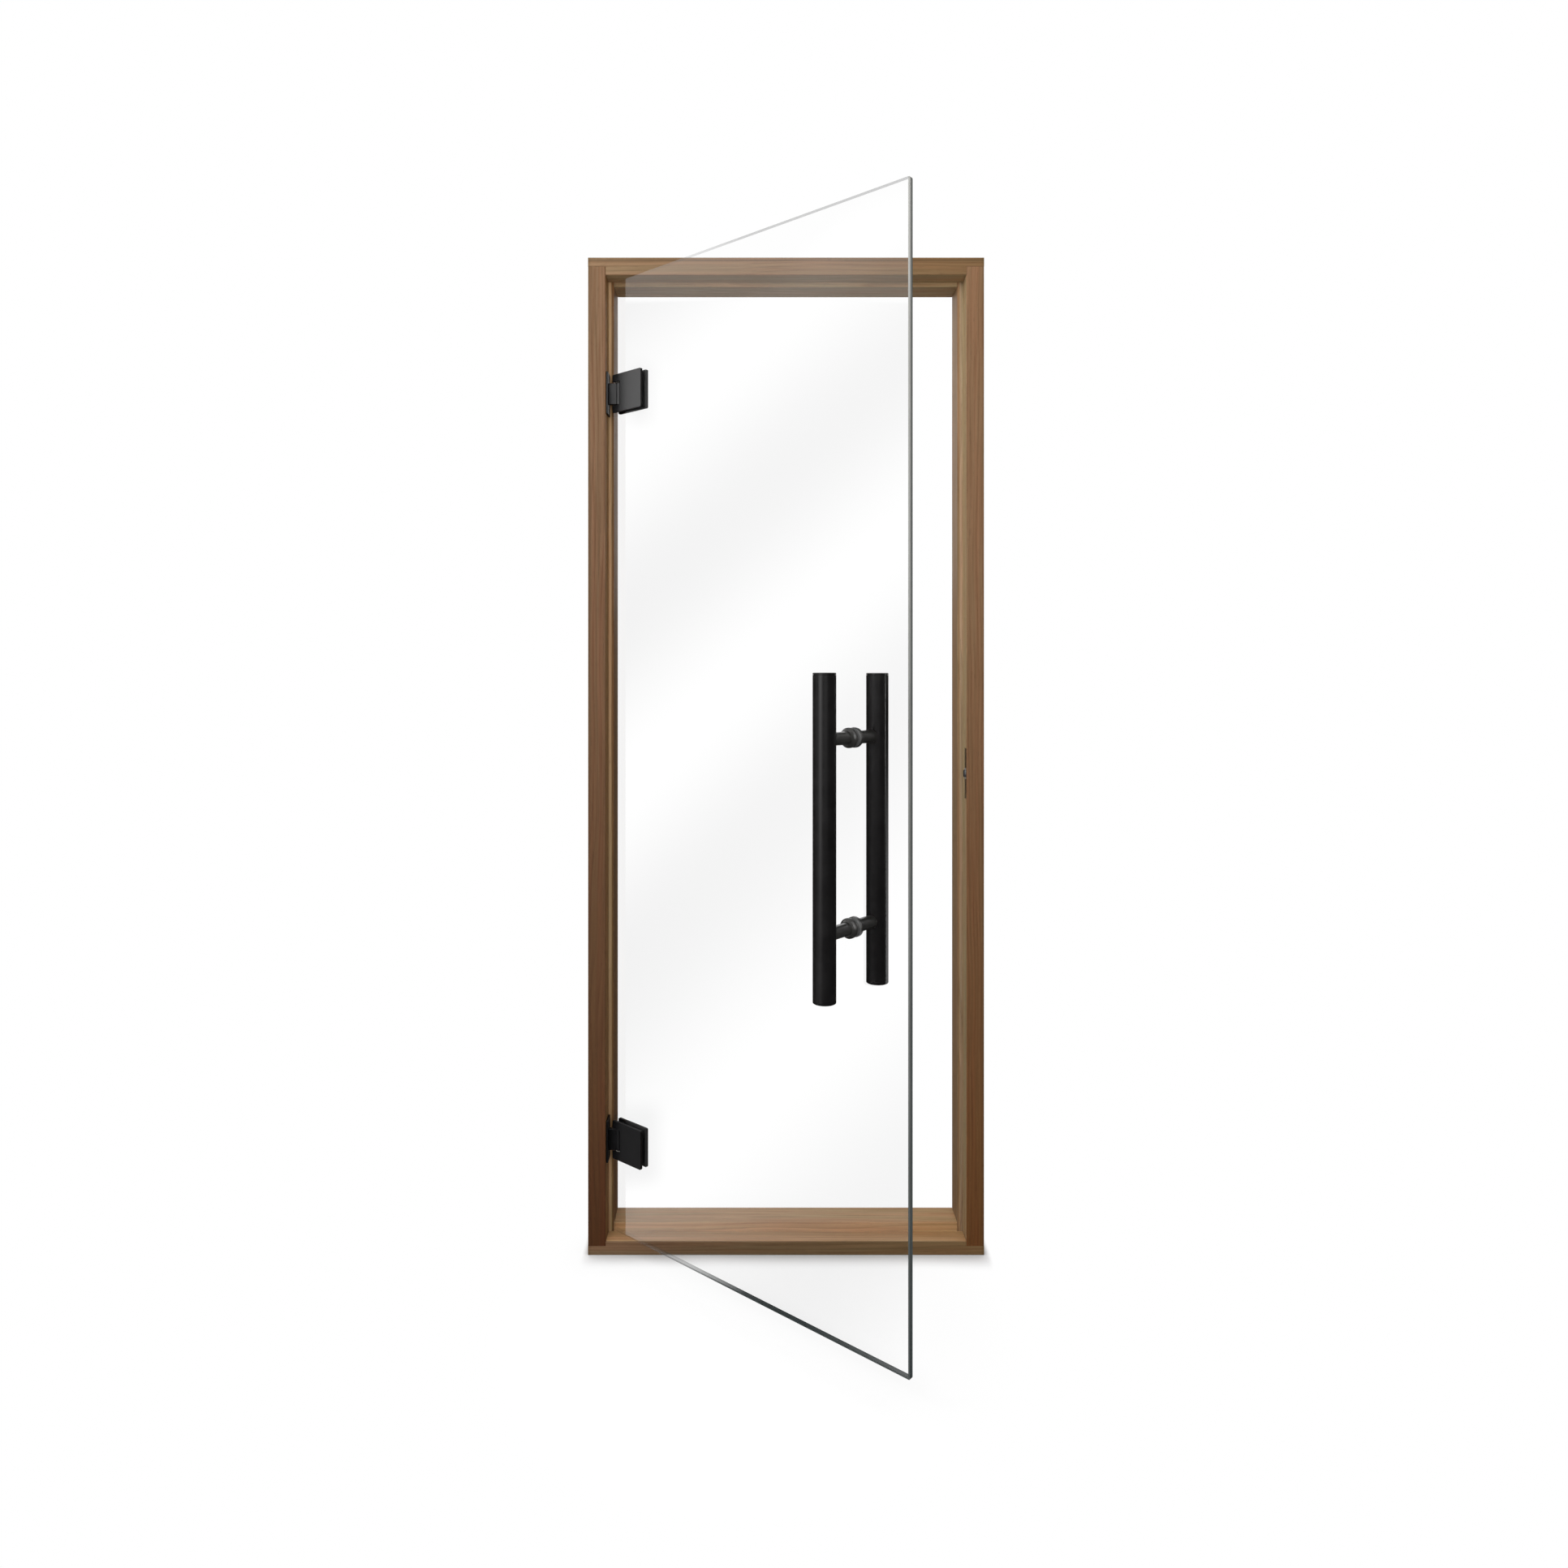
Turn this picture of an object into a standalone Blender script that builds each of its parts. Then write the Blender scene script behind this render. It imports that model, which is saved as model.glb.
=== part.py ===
"""An all-glass sauna door in a rebated wooden frame, standing open toward the viewer.

Metres, +Z up. The frame's front face looks along -Y and the hinges are at -X.
The origin is the middle of the sill's underside, half-way through the frame's depth.
"""

import math

import bmesh
import bpy
from mathutils import Matrix, Vector

# Gap between pieces that touch
GAP = 0.0003

# Wooden frame
FRAME_WIDTH = 0.790
FRAME_HEIGHT = 1.990
FRAME_DEPTH = 0.100
REBATE_DEPTH = 0.040
JAMB_FACE = 0.035
JAMB_STOP = 0.011
HEAD_FACE = 0.035
HEAD_STOP = 0.009
SILL_FACE = 0.027
SILL_STOP = 0.018
RAIL_END_THICKNESS = 0.018
WOOD_EDGE_RADIUS = 0.0015

# Glass pane
GLASS_THICKNESS = 0.008
GLASS_CORNER_RADIUS = 0.003
GLASS_SETBACK = 0.019
GLASS_HINGE_GAP = 0.010
GLASS_LATCH_GAP = 0.006
GLASS_TOP_GAP = 0.007
GLASS_BOTTOM_GAP = 0.011
GLASS_EDGE_CHAMFER = 0.0008
REST_OPENING = math.radians(40.5)

# Clamp hinges
PIVOT_INSET = 0.025
UPPER_HINGE_DROP = 0.226
LOWER_HINGE_RISE = 0.186
CLAMP_HEIGHT = 0.076
CLAMP_REACH = 0.073
CLAMP_OVERHANG = 0.009
CLAMP_PLATE = 0.005
CLAMP_CORNER_RADIUS = 0.0025
CLAMP_EDGE_BEVEL = 0.0008
GASKET_THICKNESS = 0.0008
GASKET_INSET = 0.001
WALL_PLATE_HEIGHT = 0.084
WALL_PLATE_WIDTH = 0.032
WALL_PLATE_THICKNESS = 0.004
WALL_PLATE_SETBACK = 0.004
KNUCKLE_HEIGHT = 0.044
KNUCKLE_RADIUS = 0.007
WEB_THICKNESS = 0.008
KNUCKLE_CLEARANCE = 0.006
WASHER_THICKNESS = 0.0008
PIN_RADIUS = 0.004
PIN_ENGAGEMENT = 0.0055
BOSS_END = 0.002
BOSS_BACK = 0.0075
BOSS_FRONT = 0.0115
CUTOUT_CLEARANCE = 0.002
CUTOUT_RADIUS = 0.008
WALL_SCREW_HOLE = 0.0025
WALL_SCREW_SINK = 0.0045
WALL_SCREW_END_INSET = 0.0095
WALL_SCREW_SIDE_INSET = 0.008
CLAMP_SCREW_REACH = 0.050
CLAMP_SCREW_SPACING = 0.040
CLAMP_SCREW_HOLE = 0.0027
CLAMP_SCREW_SINK = 0.0052
CLAMP_THREAD_BORE = 0.0022
CLAMP_THREAD_FLOOR = 0.0015
CLAMP_SLEEVE_RADIUS = 0.0055
CLAMP_SLEEVE_CLEARANCE = 0.0015

# Pull handles, one on each side of the glass
HANDLE_FROM_FREE_EDGE = 0.116
HANDLE_HEIGHT = 0.895
HANDLE_LENGTH = 0.530
HANDLE_STANDOFF = 0.075
TUBE_RADIUS = 0.019
TUBE_WALL = 0.0015
CAP_THICKNESS = 0.003
CAP_SPIGOT = 0.010
CAP_EDGE = 0.0012
POST_SPACING = 0.315
POST_RADIUS = 0.011
COLLAR_RADIUS = 0.017
COLLAR_RIM = 0.005
COLLAR_LENGTH = 0.011
PAD_THICKNESS = 0.001
PAD_RADIUS = 0.016
STUD_RADIUS = 0.004
STUD_ENGAGEMENT = 0.012
GLASS_HOLE_RADIUS = 0.006

# Roller catch in the latch jamb
CATCH_HEIGHT = 0.960
CATCH_SETBACK = 0.011
FACEPLATE_HEIGHT = 0.100
FACEPLATE_WIDTH = 0.018
FACEPLATE_THICKNESS = 0.002
FACEPLATE_SCREW_INSET = 0.009
FACEPLATE_SCREW_HOLE = 0.0018
FACEPLATE_SCREW_SINK = 0.0034
CASE_WALL = 0.0015
ROLLER_RADIUS = 0.006
ROLLER_LENGTH = 0.014
ROLLER_PROTRUSION = 0.0045
CATCH_TRAVEL = 0.004
FORK_CLEARANCE = 0.0004
FORK_EAR = 0.003
FORK_BACK = 0.004
FORK_WIDTH = 0.0124
AXLE_RADIUS = 0.0015

# Facets of round pieces
ROUND_STEPS = 40
SMALL_STEPS = 24
SCREW_STEPS = 16
CORNER_STEPS = 4
SMOOTH_ANGLE = math.radians(35)

# Turns that stand a flat outline up, lay a turned piece on its side, or turn it over
UPRIGHT = (math.pi / 2, 0, 0)
TOWARD_BACK = (-math.pi / 2, 0, 0)
TOWARD_RIGHT = (0, math.pi / 2, 0)
TOWARD_LEFT = (0, -math.pi / 2, 0)
TURNED_OVER = (math.pi, 0, 0)

# Places worked out from the sizes above
FRONT_Y = -FRAME_DEPTH / 2
BACK_Y = FRAME_DEPTH / 2
STOP_Y = FRONT_Y + REBATE_DEPTH
REBATE_X = FRAME_WIDTH / 2 - JAMB_FACE
STOP_X = REBATE_X - JAMB_STOP
PIVOT_X = -REBATE_X + PIVOT_INSET
PIVOT_Y = FRONT_Y + GLASS_SETBACK
GLASS_START = GLASS_HINGE_GAP - PIVOT_INSET
GLASS_END = REBATE_X - GLASS_LATCH_GAP - PIVOT_X
GLASS_BOTTOM = SILL_FACE + GLASS_BOTTOM_GAP
GLASS_TOP = FRAME_HEIGHT - HEAD_FACE - GLASS_TOP_GAP
HINGE_HEIGHTS = {"upper": GLASS_TOP - UPPER_HINGE_DROP, "lower": GLASS_BOTTOM + LOWER_HINGE_RISE}
PLATE_INNER = GLASS_THICKNESS / 2 + GAP + GASKET_THICKNESS + GAP
PLATE_OUTER = PLATE_INNER + CLAMP_PLATE
BOSS_FOOT = KNUCKLE_HEIGHT / 2 + GAP + WASHER_THICKNESS + GAP
PIN_END = BOSS_FOOT + PIN_ENGAGEMENT
BOSS_TOP = PIN_END + GAP + BOSS_END
CUTOUT_HALF = BOSS_TOP + CUTOUT_CLEARANCE
CUTOUT_END = max(BOSS_FRONT, KNUCKLE_RADIUS + KNUCKLE_CLEARANCE) + CUTOUT_CLEARANCE
CLAMP_HOLE_RADIUS = CLAMP_SLEEVE_RADIUS + CLAMP_SLEEVE_CLEARANCE
CLAMP_SCREW_RISES = (CLAMP_SCREW_SPACING / 2, -CLAMP_SCREW_SPACING / 2)
HANDLE_U = GLASS_END - HANDLE_FROM_FREE_EDGE
POST_HEIGHTS = {"upper": HANDLE_HEIGHT + POST_SPACING / 2, "lower": HANDLE_HEIGHT - POST_SPACING / 2}
PAD_INNER = GLASS_THICKNESS / 2 + GAP
POST_FOOT = PAD_INNER + PAD_THICKNESS + GAP
SIDES = {"outer": -1, "inner": 1}
CATCH_Y = FRONT_Y + CATCH_SETBACK
ROLLER_X = REBATE_X - ROLLER_PROTRUSION + ROLLER_RADIUS
FORK_INNER = ROLLER_LENGTH / 2 + FORK_CLEARANCE
FORK_OUTER = FORK_INNER + FORK_EAR
FORK_REAR_X = ROLLER_X + ROLLER_RADIUS + FORK_CLEARANCE + FORK_BACK
CAVITY_HALF_WIDTH = FORK_WIDTH / 2 + FORK_CLEARANCE
CAVITY_HALF_HEIGHT = FORK_OUTER + FORK_CLEARANCE
CAVITY_END_X = FORK_REAR_X + CATCH_TRAVEL + FORK_CLEARANCE
CASE_END_X = CAVITY_END_X + CASE_WALL
CUT_PAST = 0.002


def clear_scene():
    for obj in list(bpy.data.objects):
        bpy.data.objects.remove(obj, do_unlink=True)


def make_collection(name):
    collection = bpy.data.collections.new(name)
    bpy.context.scene.collection.children.link(collection)
    return collection


def make_material(name, colour, roughness, metallic=0.0, transmission=0.0):
    material = bpy.data.materials.new(name)
    material.use_nodes = True
    shader = material.node_tree.nodes["Principled BSDF"]
    shader.inputs["Base Color"].default_value = (*colour, 1.0)
    shader.inputs["Roughness"].default_value = roughness
    shader.inputs["Metallic"].default_value = metallic
    shader.inputs["Transmission Weight"].default_value = transmission
    return material


def smooth_round_faces(mesh):
    mesh.shade_smooth()
    mesh.set_sharp_from_angle(angle=SMOOTH_ANGLE)


def place(name, mesh, material, parent=None, location=(0, 0, 0), rotation=(0, 0, 0)):
    obj = bpy.data.objects.new(name, mesh)
    parts.objects.link(obj)
    obj.parent = parent
    obj.location = location
    obj.rotation_euler = rotation
    obj.data.materials.append(material)
    return obj


def as_cutter(obj):
    parts.objects.unlink(obj)
    cutters.objects.link(obj)
    obj.hide_render = True
    obj.display_type = "WIRE"
    return obj


def combine(obj, other, operation):
    boolean = obj.modifiers.new(f"{operation.lower()} {other.name}", "BOOLEAN")
    boolean.operation = operation
    boolean.object = other


def bevel(obj, width, segments=2):
    modifier = obj.modifiers.new("edges", "BEVEL")
    modifier.width = width
    modifier.segments = segments
    modifier.limit_method = "ANGLE"
    modifier.angle_limit = math.radians(60)


def box_mesh(name, low, high):
    """A box between two opposite corners."""
    low, high = Vector(low), Vector(high)
    shape = bmesh.new()
    place_and_size = Matrix.Translation((low + high) / 2) @ Matrix.Diagonal((*(high - low), 1))
    bmesh.ops.create_cube(shape, size=1, matrix=place_and_size)
    mesh = bpy.data.meshes.new(name)
    shape.to_mesh(mesh)
    shape.free()
    return mesh


def evaluated_mesh(obj):
    """The object's shape after its modifiers, with doubled points welded."""
    bpy.context.view_layer.update()
    graph = bpy.context.evaluated_depsgraph_get()
    mesh = bpy.data.meshes.new_from_object(obj.evaluated_get(graph), depsgraph=graph)
    shape = bmesh.new()
    shape.from_mesh(mesh)
    bmesh.ops.remove_doubles(shape, verts=shape.verts, dist=1e-6)
    bmesh.ops.recalc_face_normals(shape, faces=shape.faces)
    shape.to_mesh(mesh)
    shape.free()
    smooth_round_faces(mesh)
    return mesh


def flat_mesh(name, outlines, thickness):
    """A sheet whose outlines lie in its local XY plane, the first one around the others."""
    curve = bpy.data.curves.new(name, "CURVE")
    curve.dimensions = "2D"
    curve.fill_mode = "BOTH"
    curve.extrude = thickness / 2
    for outline in outlines:
        spline = curve.splines.new("POLY")
        spline.points.add(len(outline) - 1)
        spline.use_cyclic_u = True
        for point, (x, y) in zip(spline.points, outline):
            point.co = (x, y, 0, 1)
    guide = bpy.data.objects.new(name, curve)
    cutters.objects.link(guide)
    mesh = evaluated_mesh(guide)
    bpy.data.objects.remove(guide)
    bpy.data.curves.remove(curve)
    return mesh


def turned_mesh(name, profile, steps, closed=False):
    """A profile of (radius, height) points turned around Z. Its outer side runs downward."""
    shape = bmesh.new()
    points = [shape.verts.new((radius, 0, height)) for radius, height in profile]
    for start, end in zip(points, points[1:]):
        shape.edges.new((start, end))
    if closed:
        shape.edges.new((points[-1], points[0]))
    mesh = bpy.data.meshes.new(name)
    shape.to_mesh(mesh)
    shape.free()
    guide = bpy.data.objects.new(name, mesh)
    cutters.objects.link(guide)
    screw = guide.modifiers.new("turn", "SCREW")
    screw.steps = screw.render_steps = steps
    screw.use_merge_vertices = True
    screw.merge_threshold = 1e-5
    turned = evaluated_mesh(guide)
    bpy.data.objects.remove(guide)
    bpy.data.meshes.remove(mesh)
    return turned


def rod_mesh(name, radius, bottom, top, steps=ROUND_STEPS):
    return turned_mesh(name, [(0, top), (radius, top), (radius, bottom), (0, bottom)], steps)


def ring_mesh(name, inner, outer, bottom, top, steps=ROUND_STEPS):
    profile = [(outer, top), (outer, bottom), (inner, bottom), (inner, top)]
    return turned_mesh(name, profile, steps, closed=True)


def sunk_drill_mesh(name, hole, sink, depth):
    """A countersinking drill that points along -Z from the surface at z = 0."""
    profile = [
        (0, CUT_PAST),
        (sink, CUT_PAST),
        (sink, 0),
        (hole, hole - sink),
        (hole, -depth),
        (0, -depth),
    ]
    return turned_mesh(name, profile, SCREW_STEPS)


def circle(centre, radius, steps):
    turns = [2 * math.pi * step / steps for step in range(steps)]
    return [(centre[0] + radius * math.cos(a), centre[1] + radius * math.sin(a)) for a in turns]


def rounded(corners):
    """An outline from (x, y, radius) corners, each with a radius replaced by an arc."""
    outline = []
    for index, (x, y, radius) in enumerate(corners):
        corner = Vector((x, y))
        if radius == 0:
            outline.append((x, y))
            continue
        before = (Vector(corners[index - 1][:2]) - corner).normalized()
        after = (Vector(corners[(index + 1) % len(corners)][:2]) - corner).normalized()
        half = before.angle(after) / 2
        centre = corner + (before + after).normalized() * radius / math.sin(half)
        start = corner + before * radius / math.tan(half) - centre
        end = corner + after * radius / math.tan(half) - centre
        turn = start.angle_signed(end)
        for step in range(CORNER_STEPS + 1):
            arc = Matrix.Rotation(-turn * step / CORNER_STEPS, 2) @ start
            outline.append(tuple(centre + arc))
    return outline


def rebated_profile(face, stop, outward):
    """Section of a frame member: x is depth from the front, y the side that faces the opening.

    The outer side is at y = 0 and the opening lies toward outward * y.
    """
    r = WOOD_EDGE_RADIUS
    corners = [
        (0, 0, r),
        (0, outward * face, r),
        (REBATE_DEPTH, outward * face, 0),
        (REBATE_DEPTH, outward * (face + stop), r),
        (FRAME_DEPTH, outward * (face + stop), r),
        (FRAME_DEPTH, 0, r),
    ]
    return rounded(corners)


def make_jamb(name, side):
    """A jamb between the head and the sill; side is -1 at the hinges and +1 at the catch."""
    profile = [(-side * y, x) for x, y in rebated_profile(JAMB_FACE, JAMB_STOP, 1)]
    length = FRAME_HEIGHT - 2 * (RAIL_END_THICKNESS + GAP)
    mesh = flat_mesh(name, [profile], length)
    return place(name, mesh, wood, location=(side * FRAME_WIDTH / 2, FRONT_Y, FRAME_HEIGHT / 2))


def make_rail(name, face, stop, height, inward):
    """The head or the sill. It runs the frame's full width, and the jambs' ends are housed in it."""
    mesh = flat_mesh(name, [rebated_profile(face, stop, inward)], FRAME_WIDTH)
    axes = Matrix(((0, 0, 1), (1, 0, 0), (0, 1, 0))).to_euler()
    rail = place(name, mesh, wood, location=(0, FRONT_Y, height), rotation=axes)
    shoulder = height + inward * RAIL_END_THICKNESS
    past_stop = height + inward * (face + stop + CUT_PAST)
    for side, end in ((-1, "hinge"), (1, "latch")):
        outer = side * (FRAME_WIDTH / 2 + CUT_PAST)
        for step, jamb_x, start_y in (("face", REBATE_X, FRONT_Y - CUT_PAST), ("stop", STOP_X, STOP_Y - GAP)):
            inner = side * (jamb_x - GAP)
            low = (min(inner, outer), start_y, min(shoulder, past_stop))
            high = (max(inner, outer), BACK_Y + CUT_PAST, max(shoulder, past_stop))
            housing = place(f"{name}_{end}_{step}_housing", box_mesh(name, low, high), wood)
            combine(rail, as_cutter(housing), "DIFFERENCE")
    return rail


def catch_box(name, material, start_x, end_x, half_width, half_height):
    """A box centred on the catch, from one depth in the latch jamb to another."""
    low = (start_x, CATCH_Y - half_width, CATCH_HEIGHT - half_height)
    high = (end_x, CATCH_Y + half_width, CATCH_HEIGHT + half_height)
    return place(name, box_mesh(name, low, high), material)


def make_frame():
    make_jamb("hinge_jamb", -1)
    make_rail("head", HEAD_FACE, HEAD_STOP, FRAME_HEIGHT, -1)
    make_rail("sill", SILL_FACE, SILL_STOP, 0, 1)
    latch_jamb = make_jamb("latch_jamb", 1)
    open_x = REBATE_X - CUT_PAST
    recess_end = REBATE_X + FACEPLATE_THICKNESS + GAP
    recess_width = FACEPLATE_WIDTH / 2 + GAP
    recess_height = FACEPLATE_HEIGHT / 2 + GAP
    recess = catch_box("faceplate_recess", wood, open_x, recess_end, recess_width, recess_height)
    combine(latch_jamb, as_cutter(recess), "DIFFERENCE")
    pocket_width = CAVITY_HALF_WIDTH + CASE_WALL + GAP
    pocket_height = CAVITY_HALF_HEIGHT + CASE_WALL + GAP
    pocket = catch_box("case_pocket", wood, open_x, CASE_END_X + GAP, pocket_width, pocket_height)
    combine(latch_jamb, as_cutter(pocket), "DIFFERENCE")


def make_catch():
    """A mortised case behind a faceplate, with a sprung fork that holds the roller."""
    plate_end = REBATE_X + FACEPLATE_THICKNESS
    case = catch_box("catch_case", bronze, REBATE_X, plate_end, FACEPLATE_WIDTH / 2, FACEPLATE_HEIGHT / 2)
    wide = CAVITY_HALF_WIDTH + CASE_WALL
    tall = CAVITY_HALF_HEIGHT + CASE_WALL
    body = catch_box("case_body", bronze, plate_end - FACEPLATE_THICKNESS / 2, CASE_END_X, wide, tall)
    combine(case, as_cutter(body), "UNION")
    open_x = REBATE_X - CUT_PAST
    cavity = catch_box("case_cavity", bronze, open_x, CAVITY_END_X, CAVITY_HALF_WIDTH, CAVITY_HALF_HEIGHT)
    combine(case, as_cutter(cavity), "DIFFERENCE")
    drill_depth = FACEPLATE_THICKNESS + CUT_PAST
    for end, rise in (("upper", 1), ("lower", -1)):
        drill_mesh = sunk_drill_mesh("drill", FACEPLATE_SCREW_HOLE, FACEPLATE_SCREW_SINK, drill_depth)
        height = CATCH_HEIGHT + rise * (FACEPLATE_HEIGHT / 2 - FACEPLATE_SCREW_INSET)
        drill_place = (REBATE_X, CATCH_Y, height)
        drill = place(f"faceplate_{end}_drill", drill_mesh, bronze, None, drill_place, TOWARD_LEFT)
        combine(case, as_cutter(drill), "DIFFERENCE")

    centre = Vector((ROLLER_X, CATCH_Y, CATCH_HEIGHT))
    half_width = FORK_WIDTH / 2
    nose = 2 * AXLE_RADIUS
    low = (-nose, -half_width, -FORK_OUTER)
    high = (FORK_REAR_X - ROLLER_X, half_width, FORK_OUTER)
    fork = place("catch_fork", box_mesh("catch_fork", low, high), nylon, location=centre)
    low = (-nose - CUT_PAST, -half_width - CUT_PAST, -FORK_INNER)
    high = (ROLLER_RADIUS + FORK_CLEARANCE, half_width + CUT_PAST, FORK_INNER)
    throat = place("fork_throat", box_mesh("fork_throat", low, high), nylon, location=centre)
    combine(fork, as_cutter(throat), "DIFFERENCE")
    axle_reach = FORK_INNER + FORK_EAR / 2
    axle_mesh = rod_mesh("fork_axle", AXLE_RADIUS, -axle_reach, axle_reach, SMALL_STEPS)
    axle = place("fork_axle", axle_mesh, nylon, location=centre)
    combine(fork, as_cutter(axle), "UNION")
    half = ROLLER_LENGTH / 2
    roller_mesh = ring_mesh("catch_roller", AXLE_RADIUS + GAP, ROLLER_RADIUS, -half, half, SMALL_STEPS)
    place("catch_roller", roller_mesh, black_plastic, location=centre)


def make_door_pivot():
    """The hinge axis. Everything on the door hangs from it, as built with the door closed."""
    pivot = bpy.data.objects.new("door_pivot", None)
    parts.objects.link(pivot)
    pivot.location = (PIVOT_X, PIVOT_Y, 0)
    pivot.rotation_euler = (0, 0, -REST_OPENING)
    return pivot


def make_glass():
    """The pane, cut out on the hinge side for both knuckles and drilled for its fittings."""
    left, right, r = GLASS_START, GLASS_END, GLASS_CORNER_RADIUS
    corners = [(left, GLASS_BOTTOM, r), (right, GLASS_BOTTOM, r), (right, GLASS_TOP, r), (left, GLASS_TOP, r)]
    for height in (HINGE_HEIGHTS["upper"], HINGE_HEIGHTS["lower"]):
        corners += [
            (left, height + CUTOUT_HALF, 0),
            (CUTOUT_END, height + CUTOUT_HALF, CUTOUT_RADIUS),
            (CUTOUT_END, height - CUTOUT_HALF, CUTOUT_RADIUS),
            (left, height - CUTOUT_HALF, 0),
        ]
    holes = [circle((HANDLE_U, height), GLASS_HOLE_RADIUS, SMALL_STEPS) for height in POST_HEIGHTS.values()]
    for height in HINGE_HEIGHTS.values():
        holes += clamp_holes(height)
    mesh = flat_mesh("glass_pane", [rounded(corners), *holes], GLASS_THICKNESS)
    pane = place("glass_pane", mesh, glass, parent=door_pivot, rotation=UPRIGHT)
    bevel(pane, GLASS_EDGE_CHAMFER, segments=1)


def clamp_holes(height=0):
    """The holes through which a hinge's clamp plates are screwed together."""
    places = [(CLAMP_SCREW_REACH, height + rise) for rise in CLAMP_SCREW_RISES]
    return [circle(centre, CLAMP_HOLE_RADIUS, SCREW_STEPS) for centre in places]


def clamp_outline():
    """Side view of a clamp plate about its pin: a block notched for the wall plate's knuckle."""
    half = CLAMP_HEIGHT / 2
    notch_end = KNUCKLE_RADIUS + KNUCKLE_CLEARANCE
    r = CLAMP_CORNER_RADIUS
    corners = [
        (-CLAMP_OVERHANG, -half, r),
        (CLAMP_REACH, -half, r),
        (CLAMP_REACH, half, r),
        (-CLAMP_OVERHANG, half, r),
        (-CLAMP_OVERHANG, BOSS_FOOT, 0),
        (notch_end, BOSS_FOOT, r),
        (notch_end, -BOSS_FOOT, r),
        (-CLAMP_OVERHANG, -BOSS_FOOT, 0),
    ]
    return rounded(corners)


def make_wall_plate(name, height):
    """Plate, web and knuckle in one casting, screwed to the rebate's side."""
    plate_face = -REBATE_X + GAP + WALL_PLATE_THICKNESS
    half = WALL_PLATE_HEIGHT / 2
    front = FRONT_Y + WALL_PLATE_SETBACK
    low = (-REBATE_X + GAP, front, height - half)
    high = (plate_face, front + WALL_PLATE_WIDTH, height + half)
    plate = place(name, box_mesh(name, low, high), black_metal)
    bevel(plate, CLAMP_EDGE_BEVEL)
    rise = half - WALL_SCREW_END_INSET
    near, far = front + WALL_SCREW_SIDE_INSET, front + WALL_PLATE_WIDTH - WALL_SCREW_SIDE_INSET
    for number, (y, z) in enumerate(((near, rise), (far, rise), (near, -rise), (far, -rise)), 1):
        drill_depth = WALL_PLATE_THICKNESS + CUT_PAST
        drill_mesh = sunk_drill_mesh(name, WALL_SCREW_HOLE, WALL_SCREW_SINK, drill_depth)
        drill_place = (plate_face, y, height + z)
        drill = place(f"{name}_drill_{number}", drill_mesh, black_metal, None, drill_place, TOWARD_RIGHT)
        combine(plate, as_cutter(drill), "DIFFERENCE")
    knuckle_half = KNUCKLE_HEIGHT / 2
    web_half = knuckle_half - CLAMP_EDGE_BEVEL
    low = (plate_face - WALL_PLATE_THICKNESS / 2, PIVOT_Y - WEB_THICKNESS / 2, height - web_half)
    high = (PIVOT_X, PIVOT_Y + WEB_THICKNESS / 2, height + web_half)
    web = place(f"{name}_web", box_mesh(name, low, high), black_metal)
    bevel(web, CLAMP_EDGE_BEVEL)
    combine(plate, as_cutter(web), "UNION")
    rim = KNUCKLE_RADIUS - CLAMP_EDGE_BEVEL
    barrel_profile = [
        (0, knuckle_half),
        (rim, knuckle_half),
        (KNUCKLE_RADIUS, knuckle_half - CLAMP_EDGE_BEVEL),
        (KNUCKLE_RADIUS, CLAMP_EDGE_BEVEL - knuckle_half),
        (rim, -knuckle_half),
        (0, -knuckle_half),
    ]
    barrel_mesh = turned_mesh(name, barrel_profile, SMALL_STEPS)
    barrel = place(f"{name}_barrel", barrel_mesh, black_metal, location=(PIVOT_X, PIVOT_Y, height))
    combine(plate, as_cutter(barrel), "UNION")
    reach = knuckle_half + CUT_PAST
    bore_mesh = rod_mesh(name, PIN_RADIUS + GAP, -reach, reach, SMALL_STEPS)
    bore = place(f"{name}_bore", bore_mesh, black_metal, location=(PIVOT_X, PIVOT_Y, height))
    combine(plate, as_cutter(bore), "DIFFERENCE")


def make_clamp_body(name, height):
    """The inner clamp plate with two bosses that reach through the glass and hold the pin."""
    middle = (PLATE_INNER + PLATE_OUTER) / 2
    mesh = flat_mesh(name, [clamp_outline()], CLAMP_PLATE)
    body = place(name, mesh, black_metal, door_pivot, (0, middle, height), UPRIGHT)
    bevel(body, CLAMP_EDGE_BEVEL)
    for end, low_z, high_z in (("upper", BOSS_FOOT, BOSS_TOP), ("lower", -BOSS_TOP, -BOSS_FOOT)):
        low = (-BOSS_BACK, GAP - PLATE_INNER, low_z)
        high = (BOSS_FRONT, PLATE_INNER + CLAMP_PLATE / 2, high_z)
        boss_mesh = box_mesh(name, low, high)
        boss = place(f"{name}_{end}_boss", boss_mesh, black_metal, door_pivot, (0, 0, height))
        combine(body, as_cutter(boss), "UNION")
    reach = PIN_END + GAP
    bore_mesh = rod_mesh(name, PIN_RADIUS + GAP, -reach, reach, SMALL_STEPS)
    bore = place(f"{name}_bore", bore_mesh, black_metal, door_pivot, (0, 0, height))
    combine(body, as_cutter(bore), "DIFFERENCE")
    for number, rise in enumerate(CLAMP_SCREW_RISES, 1):
        drill_mesh = sunk_drill_mesh(name, CLAMP_SCREW_HOLE, CLAMP_SCREW_SINK, CLAMP_PLATE + CUT_PAST)
        drill_place = (CLAMP_SCREW_REACH, PLATE_OUTER, height + rise)
        drill = place(f"{name}_drill_{number}", drill_mesh, black_metal, door_pivot, drill_place, TOWARD_BACK)
        combine(body, as_cutter(drill), "DIFFERENCE")


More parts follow.
